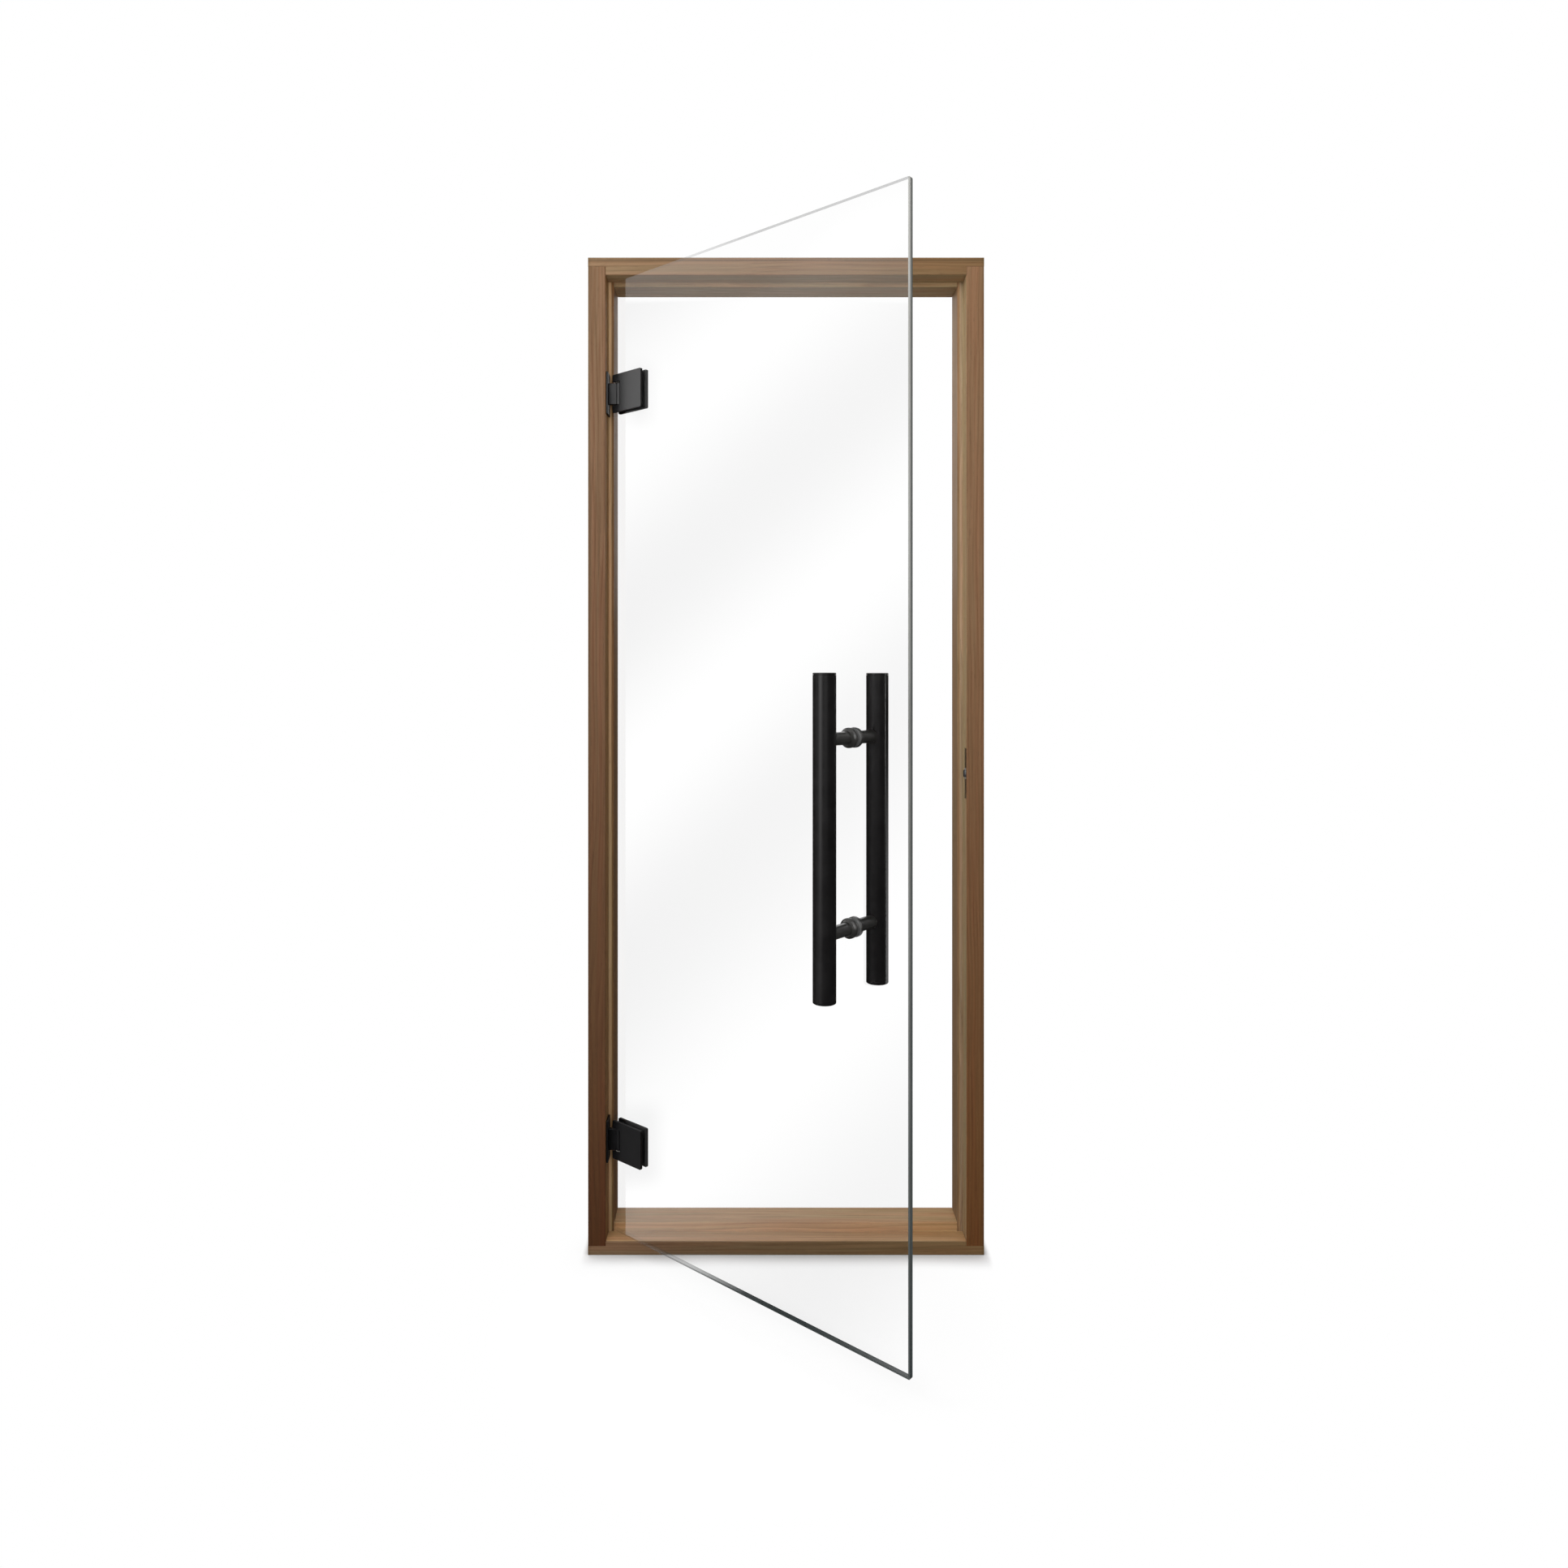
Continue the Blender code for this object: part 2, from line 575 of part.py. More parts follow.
def make_clamp_cover(name, height):
    """The outer clamp plate. Its two threaded sleeves reach through the glass to the inner plate."""
    middle = -(PLATE_INNER + PLATE_OUTER) / 2
    mesh = flat_mesh(name, [clamp_outline()], CLAMP_PLATE)
    cover = place(name, mesh, black_metal, door_pivot, (0, middle, height), UPRIGHT)
    bevel(cover, CLAMP_EDGE_BEVEL)
    sleeve_end = PLATE_INNER - GAP
    floor = CLAMP_THREAD_FLOOR - PLATE_OUTER
    for number, rise in enumerate(CLAMP_SCREW_RISES, 1):
        centre = (CLAMP_SCREW_REACH, 0, height + rise)
        sleeve_mesh = rod_mesh(name, CLAMP_SLEEVE_RADIUS, middle, sleeve_end, SCREW_STEPS)
        sleeve = place(f"{name}_sleeve_{number}", sleeve_mesh, black_metal, door_pivot, centre, TOWARD_BACK)
        combine(cover, as_cutter(sleeve), "UNION")
        thread_mesh = rod_mesh(name, CLAMP_THREAD_BORE, floor, sleeve_end + CUT_PAST, SCREW_STEPS)
        thread = place(f"{name}_thread_{number}", thread_mesh, black_metal, door_pivot, centre, TOWARD_BACK)
        combine(cover, as_cutter(thread), "DIFFERENCE")


def make_gasket(name, height, side):
    middle = side * (GLASS_THICKNESS / 2 + GAP + GASKET_THICKNESS / 2)
    near, far = CUTOUT_END + GASKET_INSET, CLAMP_REACH - GASKET_INSET
    half = CLAMP_HEIGHT / 2 - GASKET_INSET
    corners = [(near, -half), (far, -half), (far, half), (near, half)]
    mesh = flat_mesh(name, [corners, *clamp_holes()], GASKET_THICKNESS)
    place(name, mesh, rubber, door_pivot, (0, middle, height), UPRIGHT)


def make_hinge(level):
    height = HINGE_HEIGHTS[level]
    make_wall_plate(f"{level}_wall_plate", height)
    make_clamp_body(f"{level}_clamp_body", height)
    make_clamp_cover(f"{level}_clamp_cover", height)
    for side_name, side in SIDES.items():
        make_gasket(f"{level}_{side_name}_gasket", height, side)
    pin_mesh = rod_mesh("hinge_pin", PIN_RADIUS, -PIN_END, PIN_END, SMALL_STEPS)
    place(f"{level}_hinge_pin", pin_mesh, steel, door_pivot, (0, 0, height))
    washer_foot = KNUCKLE_HEIGHT / 2 + GAP
    washer_top = washer_foot + WASHER_THICKNESS
    washer_mesh = ring_mesh("washer", PIN_RADIUS + GAP, KNUCKLE_RADIUS, washer_foot, washer_top, SMALL_STEPS)
    centre = (0, 0, height)
    place(f"{level}_hinge_top_washer", washer_mesh, nylon, door_pivot, centre)
    place(f"{level}_hinge_bottom_washer", washer_mesh.copy(), nylon, door_pivot, centre, TURNED_OVER)


def make_handle_bar(side_name, side):
    """A tube with an end cap in each end."""
    centre = (HANDLE_U, side * HANDLE_STANDOFF, HANDLE_HEIGHT)
    tube_half = HANDLE_LENGTH / 2 - CAP_THICKNESS - GAP
    inner = TUBE_RADIUS - TUBE_WALL
    tube_mesh = ring_mesh("handle_tube", inner, TUBE_RADIUS, -tube_half, tube_half)
    place(f"{side_name}_handle_tube", tube_mesh, black_metal, door_pivot, centre)
    top = HANDLE_LENGTH / 2
    seat = top - CAP_THICKNESS
    spigot_radius = inner - GAP
    cap_profile = [
        (0, top),
        (TUBE_RADIUS - CAP_EDGE, top),
        (TUBE_RADIUS, top - CAP_EDGE),
        (TUBE_RADIUS, seat),
        (spigot_radius, seat),
        (spigot_radius, seat - CAP_SPIGOT),
        (0, seat - CAP_SPIGOT),
    ]
    cap_mesh = turned_mesh("handle_cap", cap_profile, ROUND_STEPS)
    place(f"{side_name}_handle_top_cap", cap_mesh, black_metal, door_pivot, centre)
    place(f"{side_name}_handle_bottom_cap", cap_mesh.copy(), black_metal, door_pivot, centre, TURNED_OVER)


def make_standoff(level, side_name, side):
    """A post from the glass to the handle, with its collar and its pad on the glass."""
    name = f"{side_name}_{level}"
    centre = (HANDLE_U, 0, POST_HEIGHTS[level])
    outward = (-side * math.pi / 2, 0, 0)
    post_mesh = rod_mesh("post", POST_RADIUS, POST_FOOT, HANDLE_STANDOFF)
    post = place(f"{name}_post", post_mesh, black_metal, door_pivot, centre, outward)
    saddle_mesh = rod_mesh("saddle", TUBE_RADIUS + GAP, -POST_SPACING, POST_SPACING)
    saddle_place = (HANDLE_U, side * HANDLE_STANDOFF, HANDLE_HEIGHT)
    saddle = place(f"{name}_saddle", saddle_mesh, black_metal, door_pivot, saddle_place)
    combine(post, as_cutter(saddle), "DIFFERENCE")
    socket_mesh = rod_mesh("socket", STUD_RADIUS + GAP, 0, POST_FOOT + STUD_ENGAGEMENT + GAP, SMALL_STEPS)
    socket = place(f"{name}_socket", socket_mesh, black_metal, door_pivot, centre, outward)
    combine(post, as_cutter(socket), "DIFFERENCE")

    bore = POST_RADIUS + GAP
    neck = bore + CAP_EDGE
    collar_profile = [
        (neck, POST_FOOT + COLLAR_LENGTH),
        (COLLAR_RADIUS, POST_FOOT + COLLAR_RIM),
        (COLLAR_RADIUS, POST_FOOT),
        (bore, POST_FOOT),
        (bore, POST_FOOT + COLLAR_LENGTH),
    ]
    collar_mesh = turned_mesh("collar", collar_profile, ROUND_STEPS, closed=True)
    place(f"{name}_collar", collar_mesh, black_metal, door_pivot, centre, outward)
    pad_mesh = ring_mesh("pad", GLASS_HOLE_RADIUS, PAD_RADIUS, PAD_INNER, PAD_INNER + PAD_THICKNESS)
    place(f"{name}_pad", pad_mesh, rubber, door_pivot, centre, outward)


def make_handles():
    for side_name, side in SIDES.items():
        make_handle_bar(side_name, side)
        for level in POST_HEIGHTS:
            make_standoff(level, side_name, side)
    for level, height in POST_HEIGHTS.items():
        reach = POST_FOOT + STUD_ENGAGEMENT
        stud_mesh = rod_mesh("stud", STUD_RADIUS, -reach, reach, SMALL_STEPS)
        place(f"{level}_handle_stud", stud_mesh, steel, door_pivot, (HANDLE_U, 0, height), UPRIGHT)


clear_scene()
parts = make_collection("sauna door")
cutters = make_collection("cutters")

wood = make_material("oiled brown wood", (0.27, 0.155, 0.085), 0.55)
glass = make_material("clear tempered glass", (0.90, 0.96, 0.94), 0.02, transmission=1.0)
black_metal = make_material("satin black metal", (0.018, 0.018, 0.020), 0.38, metallic=0.6)
steel = make_material("bright steel", (0.60, 0.60, 0.62), 0.30, metallic=1.0)
rubber = make_material("clear grey rubber", (0.16, 0.16, 0.16), 0.70)
nylon = make_material("pale nylon", (0.55, 0.53, 0.48), 0.55)
bronze = make_material("dark bronze plate", (0.13, 0.095, 0.055), 0.45, metallic=0.8)
black_plastic = make_material("black roller", (0.012, 0.012, 0.013), 0.50)

make_frame()
make_catch()
door_pivot = make_door_pivot()
make_glass()
for hinge_level in HINGE_HEIGHTS:
    make_hinge(hinge_level)
make_handles()
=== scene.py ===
import math

import bmesh
import bpy
from mathutils import Matrix, Vector


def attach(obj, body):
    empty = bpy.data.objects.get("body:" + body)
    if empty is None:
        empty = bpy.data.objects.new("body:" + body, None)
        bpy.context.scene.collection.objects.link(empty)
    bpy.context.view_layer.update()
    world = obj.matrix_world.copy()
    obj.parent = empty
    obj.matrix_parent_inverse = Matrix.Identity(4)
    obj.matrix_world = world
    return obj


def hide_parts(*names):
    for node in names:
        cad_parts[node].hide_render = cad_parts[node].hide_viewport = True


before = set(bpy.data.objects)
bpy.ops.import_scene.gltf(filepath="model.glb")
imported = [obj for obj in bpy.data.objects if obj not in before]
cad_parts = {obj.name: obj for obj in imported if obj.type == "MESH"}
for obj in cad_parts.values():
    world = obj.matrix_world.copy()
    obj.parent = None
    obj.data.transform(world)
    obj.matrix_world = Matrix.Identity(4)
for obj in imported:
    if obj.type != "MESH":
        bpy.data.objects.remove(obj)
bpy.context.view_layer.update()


# Camera. The door is seen level from chest height, a little toward the hinges, and the lens is
# shifted down and across so that the whole frame and the open glass fit in the picture.
bpy.ops.object.select_all(action="DESELECT")
bpy.ops.object.camera_add(location=(-0.0491, -2.150, 1.1533), rotation=(math.pi / 2, 0, 0))
camera = bpy.context.object
camera.name = "camera"
camera.data.sensor_width = 36
camera.data.lens = 24.175
camera.data.shift_x = 0.01439
camera.data.shift_y = -0.0683
bpy.context.scene.camera = camera
bpy.context.scene.view_settings.view_transform = "Standard"


# Studio. A white room with a pale floor: the world lights the door softly, shows as plain white
# to the eye and bright in gloss only up at the left, and the floor keeps the door's shadow.
SOFT_LIGHT = 0.42
BRIGHT_SIDE = (-0.70, -0.30, 0.65)
STRIP_SIDE = (-0.688, -0.712, 0.14)
STRIP_LIGHT = 10.0
GLOSS_LOW = 0.05
GLOSS_HIGH = 0.90
WHITE = (1, 1, 1, 1)
FLOOR_RADIUS = 7.0
FLOOR_COLOUR = (0.92, 0.92, 0.925, 1)
BOUNCE_COLOUR = (0.45, 0.45, 0.45, 1)
FRAME_HALF = (0.395, 0.050)
FRAME_SHADOW = (0.005, 0.062)
SIDE_SQUEEZE = 4.0
DOOR_MIDDLE = (-0.07, -0.26, 0)
DOOR_SHADOW = (0.34, 0.48)
DOOR_SHADOW_SHARE = 0.16
FLOOR_GLOW = 0.19
CONTACT_REACH = 0.10


def add_node(tree, kind, inputs=(), **settings):
    """A shader node. Each input is fed by another node's output or set to a value."""
    node = tree.nodes.new(kind)
    for key, value in settings.items():
        setattr(node, key, value)
    for key, value in dict(inputs).items():
        if isinstance(value, bpy.types.NodeSocket):
            tree.links.new(value, node.inputs[key])
        else:
            node.inputs[key].default_value = value
    return node


def sum_of(tree, operation, first, second, third=0.0):
    """The result of one sum between numbers or outputs."""
    node = add_node(tree, "ShaderNodeMath", {0: first, 1: second, 2: third}, operation=operation)
    return node.outputs["Value"]


def ramp_of(tree, value, low, high, start=0.0, end=1.0, smooth=False):
    """A value carried from one range into another, and held at its ends."""
    settings = {"Value": value, "From Min": low, "From Max": high, "To Min": start, "To Max": end}
    kind = "SMOOTHSTEP" if smooth else "LINEAR"
    return add_node(tree, "ShaderNodeMapRange", settings, interpolation_type=kind).outputs["Result"]


def blend_of(tree, factor, first, second, kind="MIX"):
    """A colour between two colours, or the one tinted by the other."""
    inputs = {"Factor": factor, 6: first, 7: second}
    return add_node(tree, "ShaderNodeMix", inputs, data_type="RGBA", blend_type=kind).outputs[2]


def number_between(tree, factor, first, second):
    """A number part of the way between two numbers."""
    return add_node(tree, "ShaderNodeMix", {"Factor": factor, 2: first, 3: second}).outputs[0]


def vector_sum(tree, operation, first, second):
    """The vector that one sum between two vectors gives."""
    inputs = {0: first, 1: second}
    return add_node(tree, "ShaderNodeVectorMath", inputs, operation=operation).outputs["Vector"]


def measure_of(tree, operation, first, second=(0, 0, 0)):
    """The length of a vector, or the distance or dot product of two."""
    inputs = {0: first, 1: second}
    return add_node(tree, "ShaderNodeVectorMath", inputs, operation=operation).outputs["Value"]


def shade_of(tree, colour, shade):
    """A colour made darker or lighter by a number."""
    inputs = {0: colour, "Scale": shade}
    return add_node(tree, "ShaderNodeVectorMath", inputs, operation="SCALE").outputs["Vector"]


def place_of(tree):
    """The place on the part, in metres."""
    return add_node(tree, "ShaderNodeTexCoord").outputs["Object"]


def noise_of(tree, place, scale, detail, stretch=None):
    """Noise. A stretch below 1 draws it out along the third axis, and one above 1 packs it closer."""
    if stretch:
        settings = {"Vector": place, "Scale": (1, 1, stretch)}
        place = add_node(tree, "ShaderNodeMapping", settings).outputs["Vector"]
    settings = {"Vector": place, "Scale": scale, "Detail": detail}
    return add_node(tree, "ShaderNodeTexNoise", settings).outputs["Fac"]


def new_material(name):
    """A material with its node tree and its Principled surface."""
    material = bpy.data.materials.new(name)
    material.use_nodes = True
    return material, material.node_tree, material.node_tree.nodes["Principled BSDF"]


def bare_material(name):
    """A material with its node tree, which starts empty."""
    material = bpy.data.materials.new(name)
    material.use_nodes = True
    material.node_tree.nodes.clear()
    return material, material.node_tree


world = bpy.data.worlds.new("white room")
bpy.context.scene.world = world
world.use_nodes = True
tree = world.node_tree
tree.nodes.clear()
path = add_node(tree, "ShaderNodeLightPath")
seen = sum_of(tree, "MAXIMUM", path.outputs["Is Camera Ray"], path.outputs["Is Transmission Ray"])
toward = add_node(tree, "ShaderNodeTexCoord").outputs["Generated"]
side = measure_of(tree, "DOT_PRODUCT", toward, BRIGHT_SIDE)
gloss = ramp_of(tree, side, 0.2, 0.9, GLOSS_LOW, GLOSS_HIGH, smooth=True)
side = measure_of(tree, "DOT_PRODUCT", toward, STRIP_SIDE)
gloss = sum_of(tree, "ADD", gloss, ramp_of(tree, side, 0.927, 0.996, 0.0, STRIP_LIGHT, smooth=True))
level = number_between(tree, path.outputs["Is Glossy Ray"], SOFT_LIGHT, gloss)
level = number_between(tree, seen, level, 1.0)
room = add_node(tree, "ShaderNodeBackground", {"Color": WHITE, "Strength": level})
add_node(tree, "ShaderNodeOutputWorld", {"Surface": room.outputs[0]})

bpy.ops.object.select_all(action="DESELECT")
bpy.ops.mesh.primitive_circle_add(vertices=96, radius=FLOOR_RADIUS, fill_type="NGON", location=(0, 0, 0))
floor = bpy.context.object
floor.name = "floor"
floor.visible_glossy = False
paint, tree = bare_material("pale floor paint")
place = place_of(tree)
parts = add_node(tree, "ShaderNodeSeparateXYZ", {"Vector": place})
beside = sum_of(tree, "SUBTRACT", sum_of(tree, "ABSOLUTE", parts.outputs["X"], 0), FRAME_HALF[0])
beside = sum_of(tree, "MULTIPLY", sum_of(tree, "MAXIMUM", beside, 0.0), SIDE_SQUEEZE)
before = sum_of(tree, "SUBTRACT", sum_of(tree, "ABSOLUTE", parts.outputs["Y"], 0), FRAME_HALF[1])
before = sum_of(tree, "MAXIMUM", before, 0.0)
from_frame = add_node(tree, "ShaderNodeCombineXYZ", {"X": beside, "Y": before}).outputs["Vector"]
near_frame = ramp_of(tree, measure_of(tree, "LENGTH", from_frame), *FRAME_SHADOW, 1.0, 0.0, smooth=True)
from_door = measure_of(tree, "DISTANCE", place, DOOR_MIDDLE)
near_door = ramp_of(tree, from_door, *DOOR_SHADOW, DOOR_SHADOW_SHARE, 0.0, smooth=True)
shaded = sum_of(tree, "MAXIMUM", near_frame, near_door)
path = add_node(tree, "ShaderNodeLightPath")
seen = sum_of(tree, "MAXIMUM", path.outputs["Is Camera Ray"], path.outputs["Is Transmission Ray"])
open_air = add_node(tree, "ShaderNodeAmbientOcclusion", {"Color": FLOOR_COLOUR, "Distance": CONTACT_REACH})
lit = add_node(tree, "ShaderNodeBsdfDiffuse", {"Color": open_air.outputs["Color"]})
faint = add_node(tree, "ShaderNodeEmission", {"Color": WHITE, "Strength": FLOOR_GLOW})
near = add_node(tree, "ShaderNodeAddShader", {0: lit.outputs[0], 1: faint.outputs[0]})
white = add_node(tree, "ShaderNodeEmission", {"Color": WHITE, "Strength": 1.0})
shown = add_node(tree, "ShaderNodeMixShader", {0: shaded, 1: white.outputs[0], 2: near.outputs[0]})
dull = add_node(tree, "ShaderNodeBsdfDiffuse", {"Color": BOUNCE_COLOUR})
both = add_node(tree, "ShaderNodeMixShader", {0: seen, 1: dull.outputs[0], 2: shown.outputs[0]})
add_node(tree, "ShaderNodeOutputMaterial", {"Surface": both.outputs[0]})
floor.data.materials.append(paint)


def add_lamp(name, location, target, size, power):
    """A square soft box that faces a point on the door."""
    bpy.ops.object.select_all(action="DESELECT")
    bpy.ops.object.light_add(type="AREA", location=location)
    lamp = bpy.context.object
    lamp.name = name
    lamp.data.size = size
    lamp.data.energy = power
    lamp.rotation_euler = (Vector(target) - Vector(location)).to_track_quat("-Z", "Y").to_euler()


add_lamp("key light", (-1.3, -2.9, 2.6), (0, 0, 1.3), 1.7, 50)
add_lamp("front light", (0.5, -3.3, 1.7), (0, 0, 1.1), 1.8, 26)
add_lamp("window light", (-3.2, -0.3, 2.5), (-0.2, 0, 1.2), 1.4, 40)
add_lamp("back light", (0.2, 3.0, 2.4), (0, 0, 1.0), 1.8, 18)


# Slatted screen beside the door. Only gloss sees it: it stands for the bright striped wall and the
# window whose light lies across the open glass, along the head and sill, and on the top hinge.
SCREEN_X = -2.6
SCREEN_MIDDLE_Y = 0.05
SCREEN_MIDDLE_Z = 0.9
SCREEN_SPAN = 3.1
SCREEN_RISE = 6.6
STRIPE_SLANT = (0, 0.669, 0.743)
STRIPE_START = 0.975
STRIPE_PITCH = 1.053
STRIPE_LIGHT = 0.55
STRIPES_END_Y = (0.0, 0.15)
WIDER_BELOW = -0.08
WIDENING = 0.344
HINGE_SHADES = ((-0.17, 2.33, 0.05, 0.12), (-0.12, -0.79, 0.13, 0.16))
PATCH_FADE = 0.06
HEAD_SLOPE = 0.05
HEAD_FOOT = (2.69, 2.71)
HEAD_GLOW = 0.90
SCREEN_TOP = (3.05, 3.9)
SILL_SLOPE = -0.0866
SILL_BACK = (-1.045, -1.030)
SILL_EDGE = (-1.178, -1.166)
SILL_FOOT = (-1.240, -1.225)
WINDOW_PATCH = (0.36, 2.32, 0.38, 0.44)
WINDOW_LIGHT = 4.5

bpy.ops.object.select_all(action="DESELECT")
bpy.ops.mesh.primitive_plane_add(
    size=1, location=(SCREEN_X, SCREEN_MIDDLE_Y, SCREEN_MIDDLE_Z), rotation=(0, math.pi / 2, 0)
)
screen = bpy.context.object
screen.name = "striped_screen"
screen.scale = (SCREEN_RISE, SCREEN_SPAN, 1)
bpy.ops.object.transform_apply(location=True, rotation=True, scale=True)
screen.visible_camera = False
screen.visible_diffuse = False
screen.visible_transmission = False
screen.visible_shadow = False
stripes, tree = bare_material("lit stripes")
place = place_of(tree)
parts = add_node(tree, "ShaderNodeSeparateXYZ", {"Vector": place})
along = measure_of(tree, "DOT_PRODUCT", place, STRIPE_SLANT)
below = sum_of(tree, "MAXIMUM", sum_of(tree, "SUBTRACT", WIDER_BELOW, along), 0.0)
along = sum_of(tree, "MULTIPLY_ADD", below, WIDENING, along)
turns = sum_of(tree, "MULTIPLY", along, 2 * math.pi / STRIPE_PITCH)
turns = sum_of(tree, "SUBTRACT", turns, 2 * math.pi * STRIPE_START / STRIPE_PITCH)
wave = sum_of(tree, "COSINE", turns, 0)
brightness = sum_of(tree, "MULTIPLY_ADD", wave, -STRIPE_LIGHT, STRIPE_LIGHT)


def screen_patch(y, z, half_width, half_height):
    """A soft-edged oblong on the screen: 1 within it and 0 outside."""
    off_y = sum_of(tree, "ABSOLUTE", sum_of(tree, "SUBTRACT", parts.outputs["Y"], y), 0)
    off_z = sum_of(tree, "ABSOLUTE", sum_of(tree, "SUBTRACT", parts.outputs["Z"], z), 0)
    wide = ramp_of(tree, off_y, half_width - PATCH_FADE, half_width + PATCH_FADE, 1.0, 0.0, smooth=True)
    tall = ramp_of(tree, off_z, half_height - PATCH_FADE, half_height + PATCH_FADE, 1.0, 0.0, smooth=True)
    return sum_of(tree, "MULTIPLY", wide, tall)


def slanted_height(slope):
    """The height on the screen, measured from a line that slopes across it."""
    return sum_of(tree, "MULTIPLY_ADD", parts.outputs["Y"], slope, parts.outputs["Z"])


def height_band(height, foot, top):
    """1 between two heights and 0 outside, where foot and top are each a pair to fade between."""
    return sum_of(tree, "MULTIPLY", ramp_of(tree, height, *top, 1.0, 0.0), ramp_of(tree, height, *foot))


stripes_end = ramp_of(tree, parts.outputs["Y"], *STRIPES_END_Y, 1.0, 0.0, smooth=True)
brightness = sum_of(tree, "MULTIPLY", brightness, stripes_end)
for patch in HINGE_SHADES:
    shade = ramp_of(tree, screen_patch(*patch), 0.0, 1.0, 1.0, 0.12)
    brightness = sum_of(tree, "MULTIPLY", brightness, shade)
head_band = ramp_of(tree, slanted_height(HEAD_SLOPE), *HEAD_FOOT, 0.0, HEAD_GLOW)
brightness = sum_of(tree, "MAXIMUM", brightness, head_band)
screen_top = ramp_of(tree, parts.outputs["Z"], *SCREEN_TOP, 1.0, 0.0, smooth=True)
brightness = sum_of(tree, "MULTIPLY", brightness, screen_top)
sill_height = slanted_height(SILL_SLOPE)
on_sill = height_band(sill_height, SILL_EDGE, SILL_BACK)
sill_light = ramp_of(tree, parts.outputs["Y"], -1.15, -0.20, 0.30, 1.0)
brightness = number_between(tree, on_sill, brightness, sill_light)
on_sill_front = height_band(sill_height, SILL_FOOT, SILL_EDGE)
brightness = sum_of(tree, "MULTIPLY", brightness, sum_of(tree, "SUBTRACT", 1.0, on_sill_front))
brightness = sum_of(tree, "MULTIPLY_ADD", screen_patch(*WINDOW_PATCH), WINDOW_LIGHT, brightness)
rays = add_node(tree, "ShaderNodeEmission", {"Color": WHITE, "Strength": brightness})
add_node(tree, "ShaderNodeOutputMaterial", {"Surface": rays.outputs[0]})
screen.data.materials.append(stripes)


# Frame. Four rebated lengths of heat-treated wood, planed and oiled, with a stop along the back.
# The head and sill run right across and house the jambs' ends. The front faces carry painted shade,
# darkest toward the foot.
WOOD_LIGHT = (0.473, 0.357, 0.234, 1)
WOOD_DARK = (0.297, 0.205, 0.120, 1)
WOOD_RED = (1.04, 0.95, 0.885, 1)
WOOD_OLIVE = (0.95, 1.01, 0.955, 1)
PORE_COLOUR = (0.06, 0.032, 0.018, 1)
RING_PITCH = 0.0052
RING_SHADES = ((0.0, 0.12), (0.55, 0.34), (0.86, 0.95), (0.93, 0.80), (1.0, 0.12))
GRAIN_BEND = 0.055
MEMBER_SPANS = {"X": (-0.395, 0.395), "Z": (0, 2)}
FRONT_FACE_Y = -0.0485
FOOT_SHADE = 0.7
TOP_SHADE = 1.1
ARRIS_X = (0.3885, 0.3945)
ARRIS_Y = (-0.036, -0.046)
ARRIS_SHADE_TONE = (0.62, 0.62, 0.48, 1)
STOP_MIDDLE_X = (0.3515, 0.3540)
STOP_OUTER_X = (0.3535, 0.3550, 0.3598)
REBATE_SIDE_X = (0.3598, 0.3604)
HEAD_LINE_Z = 1.9843
LINE_TONE = (0.34, 0.31, 0.27, 1)


def colour_stops(tree, value, stops):
    """A colour read from stops of (share, colour)."""
    node = add_node(tree, "ShaderNodeValToRGB", {"Fac": value})
    ramp = node.color_ramp
    ramp.elements[0].position = stops[0][0]
    ramp.elements[0].color = (*stops[0][1], 1)
    ramp.elements[1].position = stops[-1][0]
    ramp.elements[1].color = (*stops[-1][1], 1)
    for position, colour in stops[1:-1]:
        ramp.elements.new(position).color = (*colour, 1)
    return node.outputs["Color"]


